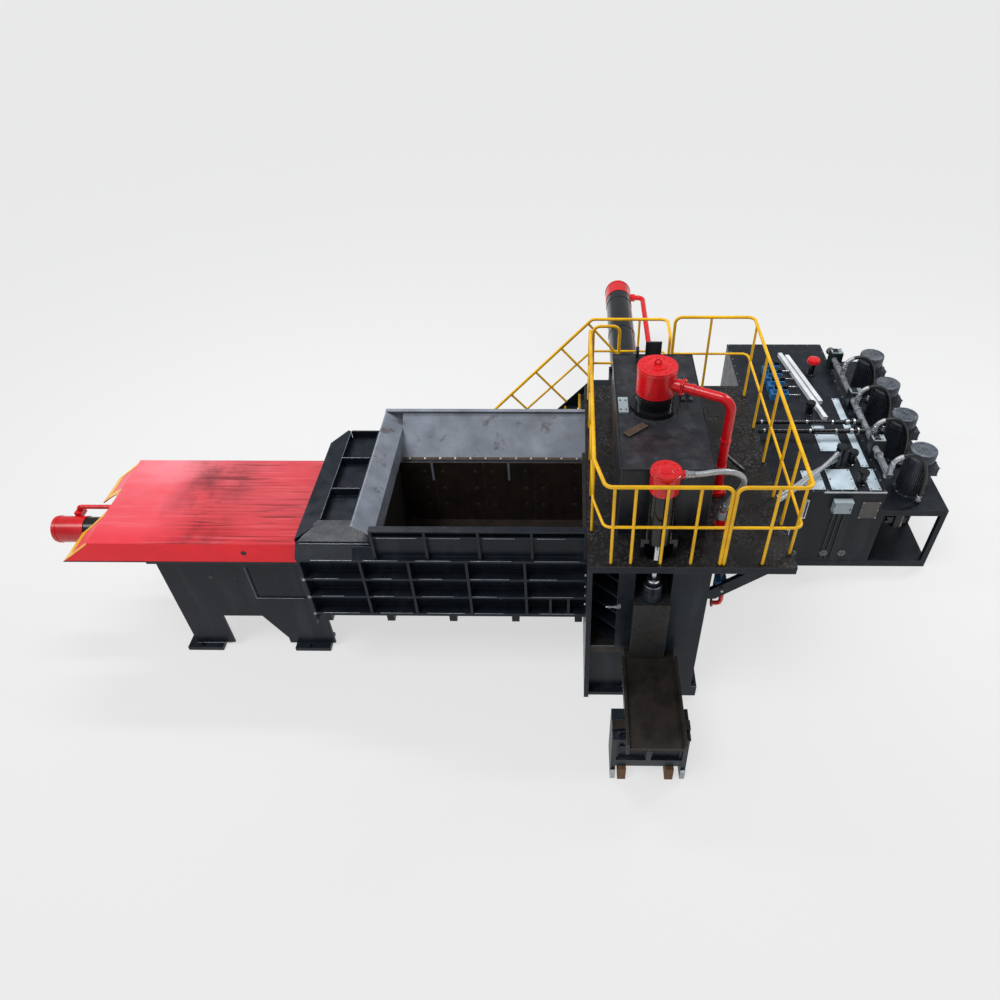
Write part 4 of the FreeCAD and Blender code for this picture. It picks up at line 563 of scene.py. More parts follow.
# %% Hose ends
def sleeve(shape, start, along):
    """A grooved sleeve and a hexagon nut, from a hose's end inwards."""
    axis = along - start
    turned(shape, [(0.0, 0.004), (0.036, 0.004), (0.038, 0.03), (0.035, 0.034), (0.038, 0.038),
                   (0.038, 0.062), (0.035, 0.066), (0.038, 0.07), (0.038, 0.095), (0.033, 0.1), (0.0, 0.1)],
           start, axis, 20)
    turned(shape, [(0, 0), (0.044, 0.0), (0.046, 0.004), (0.046, 0.026), (0.044, 0.03), (0.0, 0.03)],
           start, axis, 6)


for item, line, length, node in hoses:
    if node == "pump_hoses":
        wrap = bmesh.new()
        rod(wrap, line[:len(line) // 4], HOSE_RADIUS + 0.004, 16)
        piece(item.name + "_fire_sleeve", wrap, braid)
    ends = bmesh.new()
    sleeve(ends, line[0], line[3])
    sleeve(ends, line[-1], line[-4])
    sleeves = piece(item.name + "_sleeves", ends, plated_steel)
    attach(item, "machine")
    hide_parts(node)

# %% [markdown]
# Hundreds of hexagon bolts hold the wear plates, flanges, lids and feet.  A bolt is the same
# everywhere, so a Geometry Nodes tree sets one washer, head and thread end on each seed point,
# with its axis along the point's facing and a random turn, as a spanner leaves them.

# %% A tree that sets bolts
def new_tree(name, sizes):
    """A Geometry Nodes tree with a Seeds input, named sizes, a Finish and one output."""
    tree = bpy.data.node_groups.new(name, "GeometryNodeTree")
    tree.interface.new_socket("Seeds", in_out="INPUT", socket_type="NodeSocketGeometry")
    for label, size in sizes.items():
        kind = "NodeSocketInt" if isinstance(size, int) else "NodeSocketFloat"
        tree.interface.new_socket(label, in_out="INPUT", socket_type=kind).default_value = size
    tree.interface.new_socket("Finish", in_out="INPUT", socket_type="NodeSocketMaterial")
    tree.interface.new_socket("Made", in_out="OUTPUT", socket_type="NodeSocketGeometry")
    return tree, add(tree, "NodeGroupInput", out="Seeds").node.outputs


def close_tree(tree, given, made):
    """End a tree in real geometry that carries its finish."""
    real = add(tree, "GeometryNodeRealizeInstances", made)
    dressed = add(tree, "GeometryNodeSetMaterial", real, inputs={"Material": given["Finish"]})
    add(tree, "NodeGroupOutput", dressed)
    return tree


def bolt_tree():
    tree, given = new_tree("set_bolts", {"Across": 0.036, "Height": 0.018, "Sides": 6, "Seed": 7})
    head_radius, washer_radius, stud_radius = (
        add(tree, "ShaderNodeMath", given["Across"], part, operation="MULTIPLY") for part in (0.58, 0.85, 0.3))
    middle, washer_depth, stud_depth = (
        add(tree, "ShaderNodeMath", given["Height"], part, operation="MULTIPLY") for part in (0.5, 0.2, 1.5))
    lift = add(tree, "ShaderNodeCombineXYZ", inputs={"Z": middle})
    head, washer, stud = (
        add(tree, "GeometryNodeMeshCylinder", inputs={"Vertices": sides, "Radius": radius, "Depth": depth})
        for sides, radius, depth in ((given["Sides"], head_radius, given["Height"]),
                                     (12, washer_radius, washer_depth), (8, stud_radius, stud_depth)))
    raised, thread = (add(tree, "GeometryNodeTransform", part, inputs={"Translation": lift})
                      for part in (head, stud))
    both = add(tree, "GeometryNodeJoinGeometry", raised)
    for extra in (washer, thread):
        tree.links.new(extra, both.node.inputs[0])
    facing = add(tree, "GeometryNodeInputNamedAttribute", data_type="FLOAT_VECTOR", inputs={"Name": "facing"})
    aim = add(tree, "FunctionNodeAlignRotationToVector", axis="Z", inputs={"Vector": facing})
    chance = add(tree, "FunctionNodeRandomValue", out="Value", data_type="FLOAT",
                 inputs={"Min": 0.0, "Max": 1.05, "Seed": given["Seed"]})
    chance = [port for port in chance.node.outputs if port.enabled][0]
    spin = add(tree, "FunctionNodeEulerToRotation", add(tree, "ShaderNodeCombineXYZ", inputs={"Z": chance}))
    aim = add(tree, "FunctionNodeRotateRotation", aim, spin, rotation_space="LOCAL")
    return close_tree(tree, given, add(tree, "GeometryNodeInstanceOnPoints",
                                       inputs={"Points": given["Seeds"], "Instance": both, "Rotation": aim}))


def seeds(points, joins=()):
    """A mesh of seed points, each given as a place and a facing, with edges between some."""
    mesh = bpy.data.meshes.new("seeds")
    mesh.from_pydata([place for place, _ in points], list(joins), [])
    facing = mesh.attributes.new("facing", "FLOAT_VECTOR", "POINT")
    facing.data.foreach_set("vector", [part for _, way in points for part in way])
    return mesh


def grow(name, tree, seed_mesh, finish, slot, body="machine", **sizes):
    """Run a tree on its seeds and keep the result as a plain mesh piece."""
    source = bpy.data.objects.new(name + "_seeds", seed_mesh)
    scene.collection.objects.link(source)
    run = source.modifiers.new("grow", "NODES")
    run.node_group = tree
    sizes["Finish"] = finish
    for socket in tree.interface.items_tree:
        if socket.in_out == "INPUT" and socket.name in sizes:
            run[socket.identifier] = sizes[socket.name]
    mesh = bpy.data.meshes.new_from_object(source.evaluated_get(bpy.context.evaluated_depsgraph_get()))
    bpy.data.objects.remove(source)
    mesh.name = name
    item = bpy.data.objects.new(name, mesh)
    scene.collection.objects.link(item)
    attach(item, body)
    print(name, len(mesh.polygons), "faces")


set_bolts = bolt_tree()


def bolts(name, points, finish, slot, across, height, body="machine"):
    """A piece of hexagon bolts, one on each seed point."""
    grow(name, set_bolts, seeds(points), finish, slot, body, Across=across, Height=height)


def line_of(start, end, count, facing):
    """Seeds evenly spaced from start to end."""
    start, end = Vector(start), Vector(end)
    return [(start.lerp(end, i / (count - 1)), facing) for i in range(count)]


def ring_of(centre, axis, radius, count, turn=0.0):
    """Seeds on a circle, all facing along its axis."""
    aim = Vector(axis).to_track_quat("Z", "Y").to_matrix()
    return [(Vector(centre) + aim @ Vector((radius * math.cos(a), radius * math.sin(a), 0)), axis)
            for a in (turn + 2 * math.pi * i / count for i in range(count))]


# %% [markdown]
# The wear plates are bolted through the box walls, so a grid of heads shows inside on the plates,
# and a row holds the rusted strip at the foot of the sloping rear collar.

# %% Bolts in the charging box and collar
box_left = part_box("box_liners")[0].x
collar_low, collar_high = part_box("hopper_rear_wall")
PLATE_WIDTH = 0.702
liner_bolts = []
for side, facing in ((0.86, FORWARD), (-0.86, BACKWARD)):
    for height in (1.35, 1.65, 1.95):
        liner_bolts += [((box_left + PLATE_WIDTH * plate + inset, side, height), facing)
                        for plate in range(5) for inset in (0.12, 0.58)]
bolts("wear_plate_bolts", liner_bolts, liner_steel, "wear_steel", 0.042, 0.003)

slope = Vector((0, 0.51, 0.474)).normalized()
out = Vector((0, -slope.z, slope.y))
foot = Vector((0, collar_low.y, collar_low.z))
strip = bmesh.new()
slab(strip, [(-3.305, *(foot + slope * d)[1:]) for d in (0.004, 0.04)]
     + [(-0.775, *(foot + slope * d)[1:]) for d in (0.04, 0.004)], out * 0.01)
piece("collar_foot_strip", strip, rust_steel, bevel_mm=2)
mid = foot + slope * 0.022 + out * 0.01
bolts("collar_foot_bolts", line_of((-3.2, mid.y, mid.z), (-0.88, mid.y, mid.z), 12, out), plated_steel,
      "collar_steel", 0.018, 0.012)

rim = bmesh.new()
bar(rim, (-3.55, collar_high.y - 0.07, collar_high.z - 0.004),
    (-0.77, collar_high.y - 0.004, collar_high.z + 0.012))
slab(rim, [(x, 1.432, z) for x, z in ((-3.55, 2.584), (-3.33, 2.424), (-3.31, 2.424), (-3.31, 2.584))],
     (0, 0.02, 0))
piece("collar_rear_rim", rim, collar_enamel, bevel_mm=2)
seams = bmesh.new()
for x in (-2.895, -1.829):
    bar(seams, (x - 0.014, 0.857, 1.8), (x + 0.014, 0.86, 2.1))
piece("wear_plate_seams", seams, collar_enamel)

# %% [markdown]
# The hold-down beam is a shallow tray of plate with three pockets.  Its ribs are thin plates, its
# rear corner is cut off, and a sloping cap closes its front end up to the collar.  The tray is
# built from plates like the real one, and stands for the plain block.

# %% Hold-down beam
tray = bmesh.new()
for outline in (
        [(-4.3, -0.9), (-4.07, -0.6), (-4.07, 1.32), (-4.1, 1.35), (-4.12, 1.35), (-4.3, 1.05)],
        [(-3.69, -0.6), (-3.6, -0.6), (-3.6, 1.35), (-3.69, 1.35)],
        [(-4.07, 1.325), (-3.69, 1.325), (-3.69, 1.35), (-4.07, 1.35)]):
    slab(tray, [(x, y, 2.165) for x, y in outline], (0, 0, 0.135))
for y in (0.055, 0.705):
    bar(tray, (-4.07, y, 2.165), (-3.69, y + 0.024, 2.298))
bar(tray, (-4.28, -0.9, 2.165), (-3.6, 1.34, 2.186))
slab(tray, [(-4.298, -1.068, 2.112), (-3.6, -1.068, 2.112), (-3.6, -0.92, 2.24), (-4.298, -0.92, 2.24)],
     (0, 0.02, 0))
slab(tray, [(-4.298, -0.92, 2.165), (-4.298, -0.92, 2.25), (-4.24, -0.9, 2.262), (-4.24, -0.9, 2.165)],
     (0.05, 0, 0))
slab(tray, [(-4.296, -0.925, 2.232), (-3.36, -0.925, 2.232), (-3.36, -0.905, 2.262), (-4.28, -0.905, 2.262)],
     (0, 0.012, 0.006))
slab(tray, [(-4.27, -0.91, 2.262), (-3.36, -0.91, 2.262), (-3.36, -0.7, 2.292), (-3.62, -0.558, 2.296),
            (-4.1, -0.558, 2.296)], (0, 0, 0.012))
bar(tray, (-3.6, -0.968, 2.112), (-3.33, -0.92, 2.25))
slab(tray, [(-3.6, -1.066, 2.112), (-3.33, -1.066, 2.112), (-3.33, -0.955, 2.25), (-3.6, -0.955, 2.25)],
     (0, 0.02, 0))
piece("hold_down_tray", tray, frame_enamel, bevel_mm=3, stands_for=("hold_down_beam",))
# A bright steel finish for painted highlights: thin lines where edges catch the light.
shine = steel("painted_edge_highlight", "#8b9299", "#5d646b", 0.4, (0.3, 1, 1), 0.3, metal=0.9)
highlight_rng = random.Random(5)

# %% [markdown]
# A welded box shows a bead in every corner where two plates meet.  A tree sweeps a small round
# bead along seed edges and shakes it a little, because a hand-laid bead is never quite even.

# %% A tree that lays weld beads
def bead_tree():
    tree, given = new_tree("lay_beads", {"Throat": 0.007, "Shake": 0.003})
    path = add(tree, "GeometryNodeMeshToCurve", given["Seeds"])
    path = add(tree, "GeometryNodeResampleCurve", path, mode="LENGTH", inputs={"Length": 0.03})
    round_section = add(tree, "GeometryNodeCurvePrimitiveCircle", inputs={"Resolution": 6,
                                                                          "Radius": given["Throat"]})
    bead = add(tree, "GeometryNodeCurveToMesh", path, round_section, inputs={"Fill Caps": True})
    noise = add(tree, "ShaderNodeTexNoise", out="Color", inputs={"Scale": 40.0})
    even = add(tree, "ShaderNodeVectorMath", noise, (0.5, 0.5, 0.5), operation="SUBTRACT")
    shift = add(tree, "ShaderNodeVectorMath", even, operation="SCALE", inputs={"Scale": given["Shake"]})
    return close_tree(tree, given, add(tree, "GeometryNodeSetPosition", bead, inputs={"Offset": shift}))


lay_beads = bead_tree()


def beads(name, runs, body="machine", finish=None, **sizes):
    """Weld beads and painted highlight lines along straight runs, each a start and an end."""
    points = [(Vector(spot), UP) for run in runs for spot in run]
    grow(name, lay_beads, seeds(points, [(2 * i, 2 * i + 1) for i in range(len(runs))]),
         finish or frame_enamel, "frame_paint", body, **sizes)


BOX_LEFT, BOX_RIGHT, WALL_LOW, WALL_TOP = -4.28, -0.77, 1.125, 2.11
WALL_FACE, RIB_FACE, RIB = -0.92, -1.07, 0.03
row_step = (WALL_TOP - RIB - WALL_LOW) / 3
rows = [WALL_LOW + row * row_step for row in range(4)]
uprights = [BOX_RIGHT - 0.761 - 0.708 * i for i in range(3)] + [BOX_RIGHT - 0.761 - 0.708 * 2 - 0.589, BOX_LEFT]
runs = [((BOX_LEFT, WALL_FACE, z), (BOX_RIGHT, WALL_FACE, z)) for low in rows for z in (low, low + RIB)]
for side in (x + shift for x in uprights for shift in (0, RIB)):
    runs.append(((side, WALL_FACE, WALL_LOW), (side, WALL_FACE, WALL_TOP)))
    runs += [((side, WALL_FACE, low + RIB), (side, RIB_FACE + 0.004, low + RIB)) for low in rows]
beads("box_wall_beads", runs)
COLLAR_FACE = -0.99
collar_ribs = [-3.33 + i * (3.33 + BOX_RIGHT - RIB) / 4 for i in range(5)]
runs = [((side, COLLAR_FACE, 2.12), (side, COLLAR_FACE, 2.56)) for x in collar_ribs for side in (x, x + RIB)]
runs.append(((-3.33, COLLAR_FACE, 2.115), (BOX_RIGHT, COLLAR_FACE, 2.115)))
beads("collar_beads", runs)


def chain(corners, height):
    """Runs that join corners in turn, all at one height."""
    path = [(*corner, height) for corner in corners]
    return list(zip(path, path[1:]))


crown = [(-0.43, -1.18), (0.57, -1.18), (0.57, 1.18), (-0.43, 1.18), (-0.43, -1.18)]
beads("crown_beads", chain(crown, CROWN_TOP) + chain(crown[:3], DECK_TOP) + chain(crown[4:2:-1], DECK_TOP),
      Throat=0.009)

# %% [markdown]
# Broken bright lines run along the outer edges of the ribs and a few other edges: painted
# highlights where the edges catch the light.  Their lengths come from a seeded random number,
# which gives the same lines on every run.

# %% Painted highlights on rib edges
runs = []
bays = sorted(uprights + [BOX_RIGHT])
for low in rows:
    for left_end, right_end in zip(bays, bays[1:]):
        room = right_end - left_end
        start = left_end + RIB + room * highlight_rng.uniform(0.02, 0.2)
        runs.append(((start, -1.069, low + RIB), (start + room * highlight_rng.uniform(0.35, 0.72), -1.069, low + RIB)))
for i in range(4):
    x = -3.3 + i * 0.6325
    runs.append(((x + 0.05, -1.058, 2.474), (x + highlight_rng.uniform(0.35, 0.55), -1.058, 2.474)))
runs += [((-4.07, y, 2.299), (-3.7, y, 2.299)) for y in (0.067, 0.717)]
runs += [((-4.07, -0.56, 2.3), (-4.07, 1.32, 2.3)), ((-4.24, -0.93, 2.255), (-3.4, -0.93, 2.255))]
runs += [((-0.7, -1.498, 1.051), (-0.41, -1.498, 1.051)), ((0.66, -1.498, 0.2), (0.73, -1.498, 0.2))]
beads("rib_edge_painted_highlights", runs, finish=shine, Throat=0.0045, Shake=0.004)
studs = [((-3.046, -0.92, 1.3), FORWARD), ((-1.861, -0.92, 1.3), FORWARD)]
studs += [((x, -1.07, z), FORWARD) for x, z in ((-4.265, 1.458), (-4.265, 1.775), (-4.265, 1.14))]
studs += [((-0.77, -1.13, z), LEFTWARD) for z in (1.42, 1.58, 1.74, 1.94)]
bolts("box_wall_studs", studs, plated_steel, "frame_paint", 0.026, 0.014)

# %% [markdown]
# The cover's left end slopes down over the cylinder and has an arch cut in it.  Its lower edge and
# the arch carry a band of yellow paint, so a worker sees the moving edge.  The band is a flat
# ribbon that follows the edge in the plane of the slope.

# %% Yellow edge of the cover
slope_top, slope_foot = Vector((-6.94, 0, 2.13)), Vector((-7.36, 0, 1.83))
down = (slope_foot - slope_top).normalized()
face = Vector((down.z, 0, -down.x))
face = face if face.x < 0 else -face
fall = (slope_foot.x - slope_top.x) / (slope_foot.z - slope_top.z)


def on_slope(y, z):
    """A point on the slope's outer face at a given side and height."""
    return Vector((slope_top.x + (z - slope_top.z) * fall, y, z))


EDGE_LOW, BAND_HIGH, ARCH, BAND_ARCH, ARCH_TOP = 1.83, 1.91, 0.303, 0.39, 2.147
arch_turns = [math.pi - math.pi * i / 24 for i in range(1, 24)]
edge = [(-0.84, EDGE_LOW), (-ARCH, EDGE_LOW)]
edge += [(ARCH * math.cos(a), EDGE_LOW + ARCH * math.sin(a)) for a in arch_turns]
edge += [(ARCH, EDGE_LOW), (0.84, EDGE_LOW)]
outer = [(-0.84, BAND_HIGH), (-BAND_ARCH, BAND_HIGH)]
outer += [(BAND_ARCH * math.cos(a), min(ARCH_TOP, max(BAND_HIGH, EDGE_LOW + BAND_ARCH * math.sin(a))))
          for a in arch_turns]
outer += [(BAND_ARCH, BAND_HIGH), (0.84, BAND_HIGH)]
band = bmesh.new()
for (a, b), (c, d) in zip(zip(edge, edge[1:]), zip(outer, outer[1:])):
    slab(band, [on_slope(*a), on_slope(*b), on_slope(*d), on_slope(*c)], face * 0.004)
for side in (-0.84, 0.77):
    slab(band, [on_slope(side, EDGE_LOW), on_slope(side + 0.07, EDGE_LOW), on_slope(side + 0.07, 2.13),
                on_slope(side, 2.13)], face * 0.005)
bmesh.ops.remove_doubles(band, verts=band.verts, dist=0.0005)
piece("cover_yellow_edge", band, yellow_enamel, "main_ram")

# The lifting hole is a black disc in a black ring: the dark inside of the hole is painted shade.
lift = bmesh.new()
collar(lift, 0, 0.026, 0.003, (-5.02, -0.84, 2.0), FORWARD, 20)
collar(lift, 0.026, 0.034, 0.005, (-5.02, -0.84, 2.0), FORWARD, 20)
piece("cover_lifting_hole_painted_shade", lift, black_enamel, "main_ram")
skirt = bmesh.new()
for side in (-1, 1):
    bar(skirt, (-7.35, min(side * 0.838, side * 0.843), 1.831), (-4.27, max(side * 0.838, side * 0.843), 1.846))
piece("cover_skirt_edge", skirt, black_enamel, "main_ram")

# %% [markdown]
# Each cylinder cap is a red forging with a ring of low cap screws, a raised band and a boss.  Where
# the press pipe joins sits a split flange, a square block in two halves with four screws.

# %% Cylinder caps
def split_flange(shape, centre, axis, half):
    """A square flange of two halves round a pipe, with a gap between them."""
    aim = Vector(axis).to_track_quat("Z", "Y").to_matrix()
    for side in (-1, 1):
        corners = [aim @ Vector((x, y, 0)) + Vector(centre) for x, y in
                   ((-half, side * 0.004), (half, side * 0.004), (half, side * half), (-half, side * half))]
        slab(shape, corners, Vector(axis).normalized() * 0.032)


caps = {"press": ((0, 0, 4.15), UP, 0.225, 0.165, 12), "gate": ((0, -1.45, 3.82), UP, 0.155, 0.118, 8),
        "main": ((-7.925, 0, MAIN_AXIS), LEFTWARD, 0.18, 0.135, 10),
        "eject": ((0, 7.7, EJECT_AXIS), BACKWARD, 0.258, 0.19, 12)}
for name, (centre, axis, radius, screw_ring, count) in caps.items():
    back = Vector(axis)
    ring = bmesh.new()
    turned(ring, [(radius - 0.004, 0.0), (radius + 0.006, 0.0), (radius + 0.006, 0.03),
                  (radius - 0.004, 0.034)], Vector(centre) - back * 0.055, axis, 48)
    turned(ring, [(0, 0), (radius * 0.5, 0.0), (radius * 0.5, 0.006), (radius * 0.46, 0.009), (0.0, 0.009)],
           Vector(centre), axis, 40)
    piece(f"{name}_cap_bands", ring, red_enamel)
    bolts(f"{name}_cap_screws", ring_of(centre, axis, screw_ring, count), red_enamel, "red_paint", 0.02, 0.007)
    bolts(f"{name}_port_screws", ring_of(Vector(centre) - back * 0.004, axis, radius * 0.3, 3), plated_steel,
          "red_paint", 0.018, 0.01)

foot_x, foot_y = 0.8, -0.42
press_port = Vector((0, 0, 3.96))
flanges = bmesh.new()
port_way = Vector((foot_x, foot_y, 0)).normalized()
split_flange(flanges, press_port + port_way * 0.3, port_way, 0.07)
split_flange(flanges, (foot_x, foot_y, 2.695), UP, 0.092)
piece("press_pipe_flanges", flanges, red_enamel, bevel_mm=3)
screws = ring_of(press_port + port_way * 0.332, port_way, 0.078, 4, math.pi / 4)
screws += ring_of((foot_x, foot_y, 2.727), UP, 0.102, 4, math.pi / 4)
bolts("press_pipe_screws", screws, red_enamel, "red_paint", 0.024, 0.014)
bands = bmesh.new()
for height in (3.05, 3.42):
    turned(bands, [(0.054, 0.0), (0.062, 0.002), (0.062, 0.028), (0.054, 0.03)], (foot_x, foot_y, height))
collar(bands, 0.055, 0.064, 0.045, press_port + port_way * 0.42, port_way)
piece("press_pipe_bands", bands, red_enamel)

# %% [markdown]
# The main and eject tubes have a ring of flange screws where they pass their frames.  Raised
# bands mark the joints of the eject and press tubes.

# %% Cylinder flanges
rings = ring_of((-6.37, 0, MAIN_AXIS), LEFTWARD, 0.225, 14)
rings += ring_of((0, 4.12, EJECT_AXIS), BACKWARD, 0.287, 16)
bolts("cylinder_flange_screws", rings, black_enamel, "tube_black", 0.036, 0.022)

tubes = bmesh.new()
for start, axis, radius, gaps in (((0, 4.6, EJECT_AXIS), BACKWARD, 0.25, (0.0, 1.2, 2.4)),
                                  ((0, 0, 3.7), UP, 0.22, (0.04,))):
    for gap in gaps:
        turned(tubes, [(radius - 0.002, 0.0), (radius + 0.007, 0.004), (radius + 0.007, 0.05),
                       (radius - 0.002, 0.054)], Vector(start) + Vector(axis) * gap, axis, 48)
piece("cylinder_tube_bands", tubes, black_enamel)

# %% [markdown]
# On the press crown lie a rusted offcut and a pale cover.  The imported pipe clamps, lug and
# bracket on it are held down by pairs of bolts.

# %% Crown fittings
crown_bolts = [((x, y, 3.62), UP) for x in (-0.39, -0.33) for y in (-0.09, 0.1)]
crown_bolts += [((0.315 + 0.09 * i + 0.035, y, 3.615), UP) for i in range(2) for y in (0.15, 0.24)]
crown_bolts += [((x, 0.98, 3.62), UP) for x in (0.0, 0.12)]
bolts("crown_fitting_bolts", crown_bolts, plated_steel, "fitting_paint", 0.024, 0.012)
cover = bmesh.new()
bar(cover, (-0.412, -0.14, CROWN_TOP), (-0.3, 0.17, CROWN_TOP + 0.024))
piece("crown_pale_cover", cover, pale_enamel, bevel_mm=2)
scrap = bmesh.new()
turn = Matrix.Rotation(math.radians(42), 3, "Z")
centre = Vector((-0.32, -0.62, 0)) + turn @ Vector((0.15, 0.045, 0))
bar(scrap, (centre.x - 0.152, centre.y - 0.047, 3.622), (centre.x + 0.152, centre.y + 0.047, 3.629), turn)
piece("crown_rusted_offcut", scrap, rust_steel, bevel_mm=2)

# %% [markdown]
# The outlet gate hangs on a forged clevis, which a dark turned cover hides.  The block's corners
# are rubbed, and a slim steel rod beside it tells the controls where it stands.

# %% Gate and outlet
clevis = bmesh.new()
turned(clevis, [(0.034, 0.335), (0.05, 0.332), (0.052, 0.3), (0.0785, 0.296), (0.0785, 0.256), (0.1, 0.252),
                (0.112, 0.24), (0.112, 0.16), (0.1105, 0.155), (0.1105, 0.1), (0.112, 0.095), (0.112, 0.05),
                (0.124, 0.045), (0.124, 0.0), (0.109, 0.0)], (0, -1.45, 1.921), steps=40)
piece("gate_clevis_cover", clevis, leg_enamel, "gate_body")
bolts("gate_clevis_screws", ring_of((0, -1.45, 1.952), UP, 0.114, 8), plated_steel, "gate_steel", 0.012, 0.01,
      "gate_body")
GATE_HALF, GATE_FACE, GATE_TOP = 0.208, -1.597, 1.917
gate_edges = [((x, GATE_FACE, 0.965), (x, GATE_FACE, 1.915)) for x in (-GATE_HALF, GATE_HALF)]
gate_edges.append(((-GATE_HALF, GATE_FACE, GATE_TOP), (GATE_HALF, GATE_FACE, GATE_TOP)))
gate_edges += [((x, -0.94, GATE_TOP), (x, -1.59, GATE_TOP)) for x in (-GATE_HALF, GATE_HALF)]
beads("gate_edges", gate_edges, "gate_body", gate_steel, Throat=0.0035, Shake=0.002)
sensor = bmesh.new()
rod(sensor, [(-0.54, -1.512, 1.804), (-0.41, -1.512, 1.804)], 0.011)
for x in (-0.44, -0.5):
    collar(sensor, 0.011, 0.022, 0.016, (x, -1.512, 1.804), RIGHTWARD, 6)
bar(sensor, (-0.4, -1.512, 1.77), (-0.36, -1.498, 1.84))
bar(sensor, (-0.42, -1.52, 1.785), (-0.4, -1.498, 1.825))
piece("gate_sensor_rod", sensor, plated_steel, bevel_mm=1)
runs = []
for i in range(5):
    z = 1.05 + i * (2.165 - 1.05) / 4
    runs += [((-0.71, -0.93, z), (-0.4, -0.93, z)), ((-0.4, -0.93, z), (-0.4, -1.46, z)),
             ((-0.71, -0.93, z), (-0.71, -1.175, z))]
runs += [((-0.4, -1.497, 1.05), (-0.4, -1.497, 2.56)), ((-0.71, -1.4, 0.06), (0.215, -1.4, 0.06))]
beads("outlet_beads", runs)

# %% [markdown]
# Every foot of the machine is bolted to the ground through its pad: a washer, a nut and the top of
# an anchor stud.

# %% Anchor nuts
anchors = []
for side in (-1, 1):
    anchors += [((x, side * 0.74, 0.06), UP) for x in (-6.21, -4.67)]
    anchors += [((x, side * 1.45, 0.06), UP) for x in (-0.6, 0.1)]
anchors += [((0.69, y, 0.2), UP) for y in (-1.42, -0.8, 0.0, 0.8, 1.42)]
anchors += [((x, y, 0.12), UP) for x in (1.94, 4.56) for y in (1.02, 5.16)]
bolts("anchor_nuts", anchors, black_enamel, "frame_paint", 0.042, 0.03)

marks = bmesh.new()
for x, z, radius in ((-5.672, 1.412, 0.034), (-5.36, 1.4, 0.018)):
    collar(marks, 0, radius, 0.004, (x, -0.69, z), FORWARD, 20)
piece("frame_side_plugs", marks, black_enamel)
# Bright lines on the frame window's edges and along a foot are painted highlights.
beads("frame_window_painted_highlights", [((-5.185, -0.689, 1.004), (-4.535, -0.689, 1.004)),
                             ((-5.185, -0.689, 1.004), (-5.185, -0.689, 1.595)),
                             ((-6.3, -0.7, 0.062), (-5.8, -0.7, 0.062))], finish=shine, Throat=0.004)

# %% [markdown]
# The blue valve and its silver fittings hang on the press column under the deck, beside a red
# pipe end.

# %% Valve under the deck
valve = bmesh.new()
bar(valve, (0.73, -1.44, 1.98), (0.86, -1.3, 2.16))
turned(valve, [(0, 0), (0.035, 0.0), (0.04, 0.01), (0.04, 0.09), (0.03, 0.1), (0.0, 0.1)],
       (0.86, -1.37, 2.07), RIGHTWARD, 24)
piece("deck_valve_body", valve, blue_enamel, bevel_mm=4)
fitting = bmesh.new()
turned(fitting, [(0, 0), (0.026, 0.0), (0.026, 0.03), (0.018, 0.034), (0.018, 0.08), (0.0, 0.08)],
       (0.795, -1.44, 2.09), FORWARD, 6)
rod(fitting, [(0.795, -1.37, 2.16), (0.795, -1.37, 2.34), (0.8, -1.36, 2.44), (0.8, -1.3, 2.55)], 0.014)
piece("deck_valve_fittings", fitting, plated_steel)
stub = bmesh.new()
rod(stub, [(0.73, -1.36, 1.72), (0.8, -1.36, 1.72), (0.83, -1.37, 1.74), (0.84, -1.38, 1.8),
           (0.84, -1.38, 1.98)], 0.028, 16)
collar(stub, 0, 0.05, 0.02, (0.73, -1.36, 1.72), RIGHTWARD, 24)
piece("deck_valve_pipe", stub, red_enamel)

# %% [markdown]
# The guard rail's posts stand on small welded feet with two screws each, so that they can be
# unbolted for transport.  A foot lies along its rail, so those on the sides are turned.

# %% Rail feet
posts = [(-0.72, y) for y in (0.9, 0.2, -0.5, -1.12, 1.58)]
posts += [(x, -1.65) for x in (-0.52, -0.304, 0.019, 0.35, 0.669, 0.711, 1.131)]
posts += [(1.46, y) for y in (-1.48, -1.01, -0.51, 0.17, 0.91, 1.68)]
posts += [(0.9, 1.89)]
feet, rail_screws = bmesh.new(), []
for x, y in posts:
    (half_x, half_y), (shift_x, shift_y) = ((0.04, 0.02), (0.03, 0.0))
    if x > 1.4 or x < -0.7:
        (half_x, half_y), (shift_x, shift_y) = ((0.02, 0.04), (0.0, 0.03))
    bar(feet, (max(x - half_x, -0.768), y - half_y, 2.668), (min(x + half_x, 1.508), y + half_y, 2.68))
    rail_screws += [((x + shift_x, y + shift_y, 2.68), UP), ((x - shift_x, y - shift_y, 2.68), UP)]
piece("rail_feet", feet, deck_plate_coat, bevel_mm=2)
bolts("rail_foot_screws", rail_screws, black_enamel, "deck_steel", 0.011, 0.006)

# %% [markdown]
# The deck's chequer plates are cut in sheets and joined by flush welds.  A loose bar lies on them,
# and the gate hose ends on a small turned stand.

# %% Deck seams and hose stand
beads("deck_seams", [((0.57, y, 2.669), (1.51, y, 2.669)) for y in (-1.18, 0.38, 1.18)]
      + [((x, -1.7, 2.669), (x, -1.18, 2.669)) for x in (-0.43, 0.57)], finish=deck_plate_coat, Throat=0.005)
rest = bmesh.new()
rod(rest, [(0.96, 0.42, 2.685), (1.12, 0.12, 2.685), (1.2, -0.02, 2.69)], 0.014)
piece("deck_loose_bar", rest, plated_steel)
cone = bmesh.new()
turned(cone, [(0, 0), (0.07, 0.0), (0.07, 0.032), (0.055, 0.036), (0.046, 0.12), (0.0, 0.12)],
       (0.757, -1.029, DECK_TOP), steps=28)
piece("deck_fitting_cone", cone, red_enamel)
end = bmesh.new()
turned(end, [(0.042, 0.0), (0.047, 0.002), (0.047, 0.1), (0.042, 0.11)], (0.757, -1.029, 2.79), steps=24)
piece("deck_fitting_sleeve", end, pale_enamel)

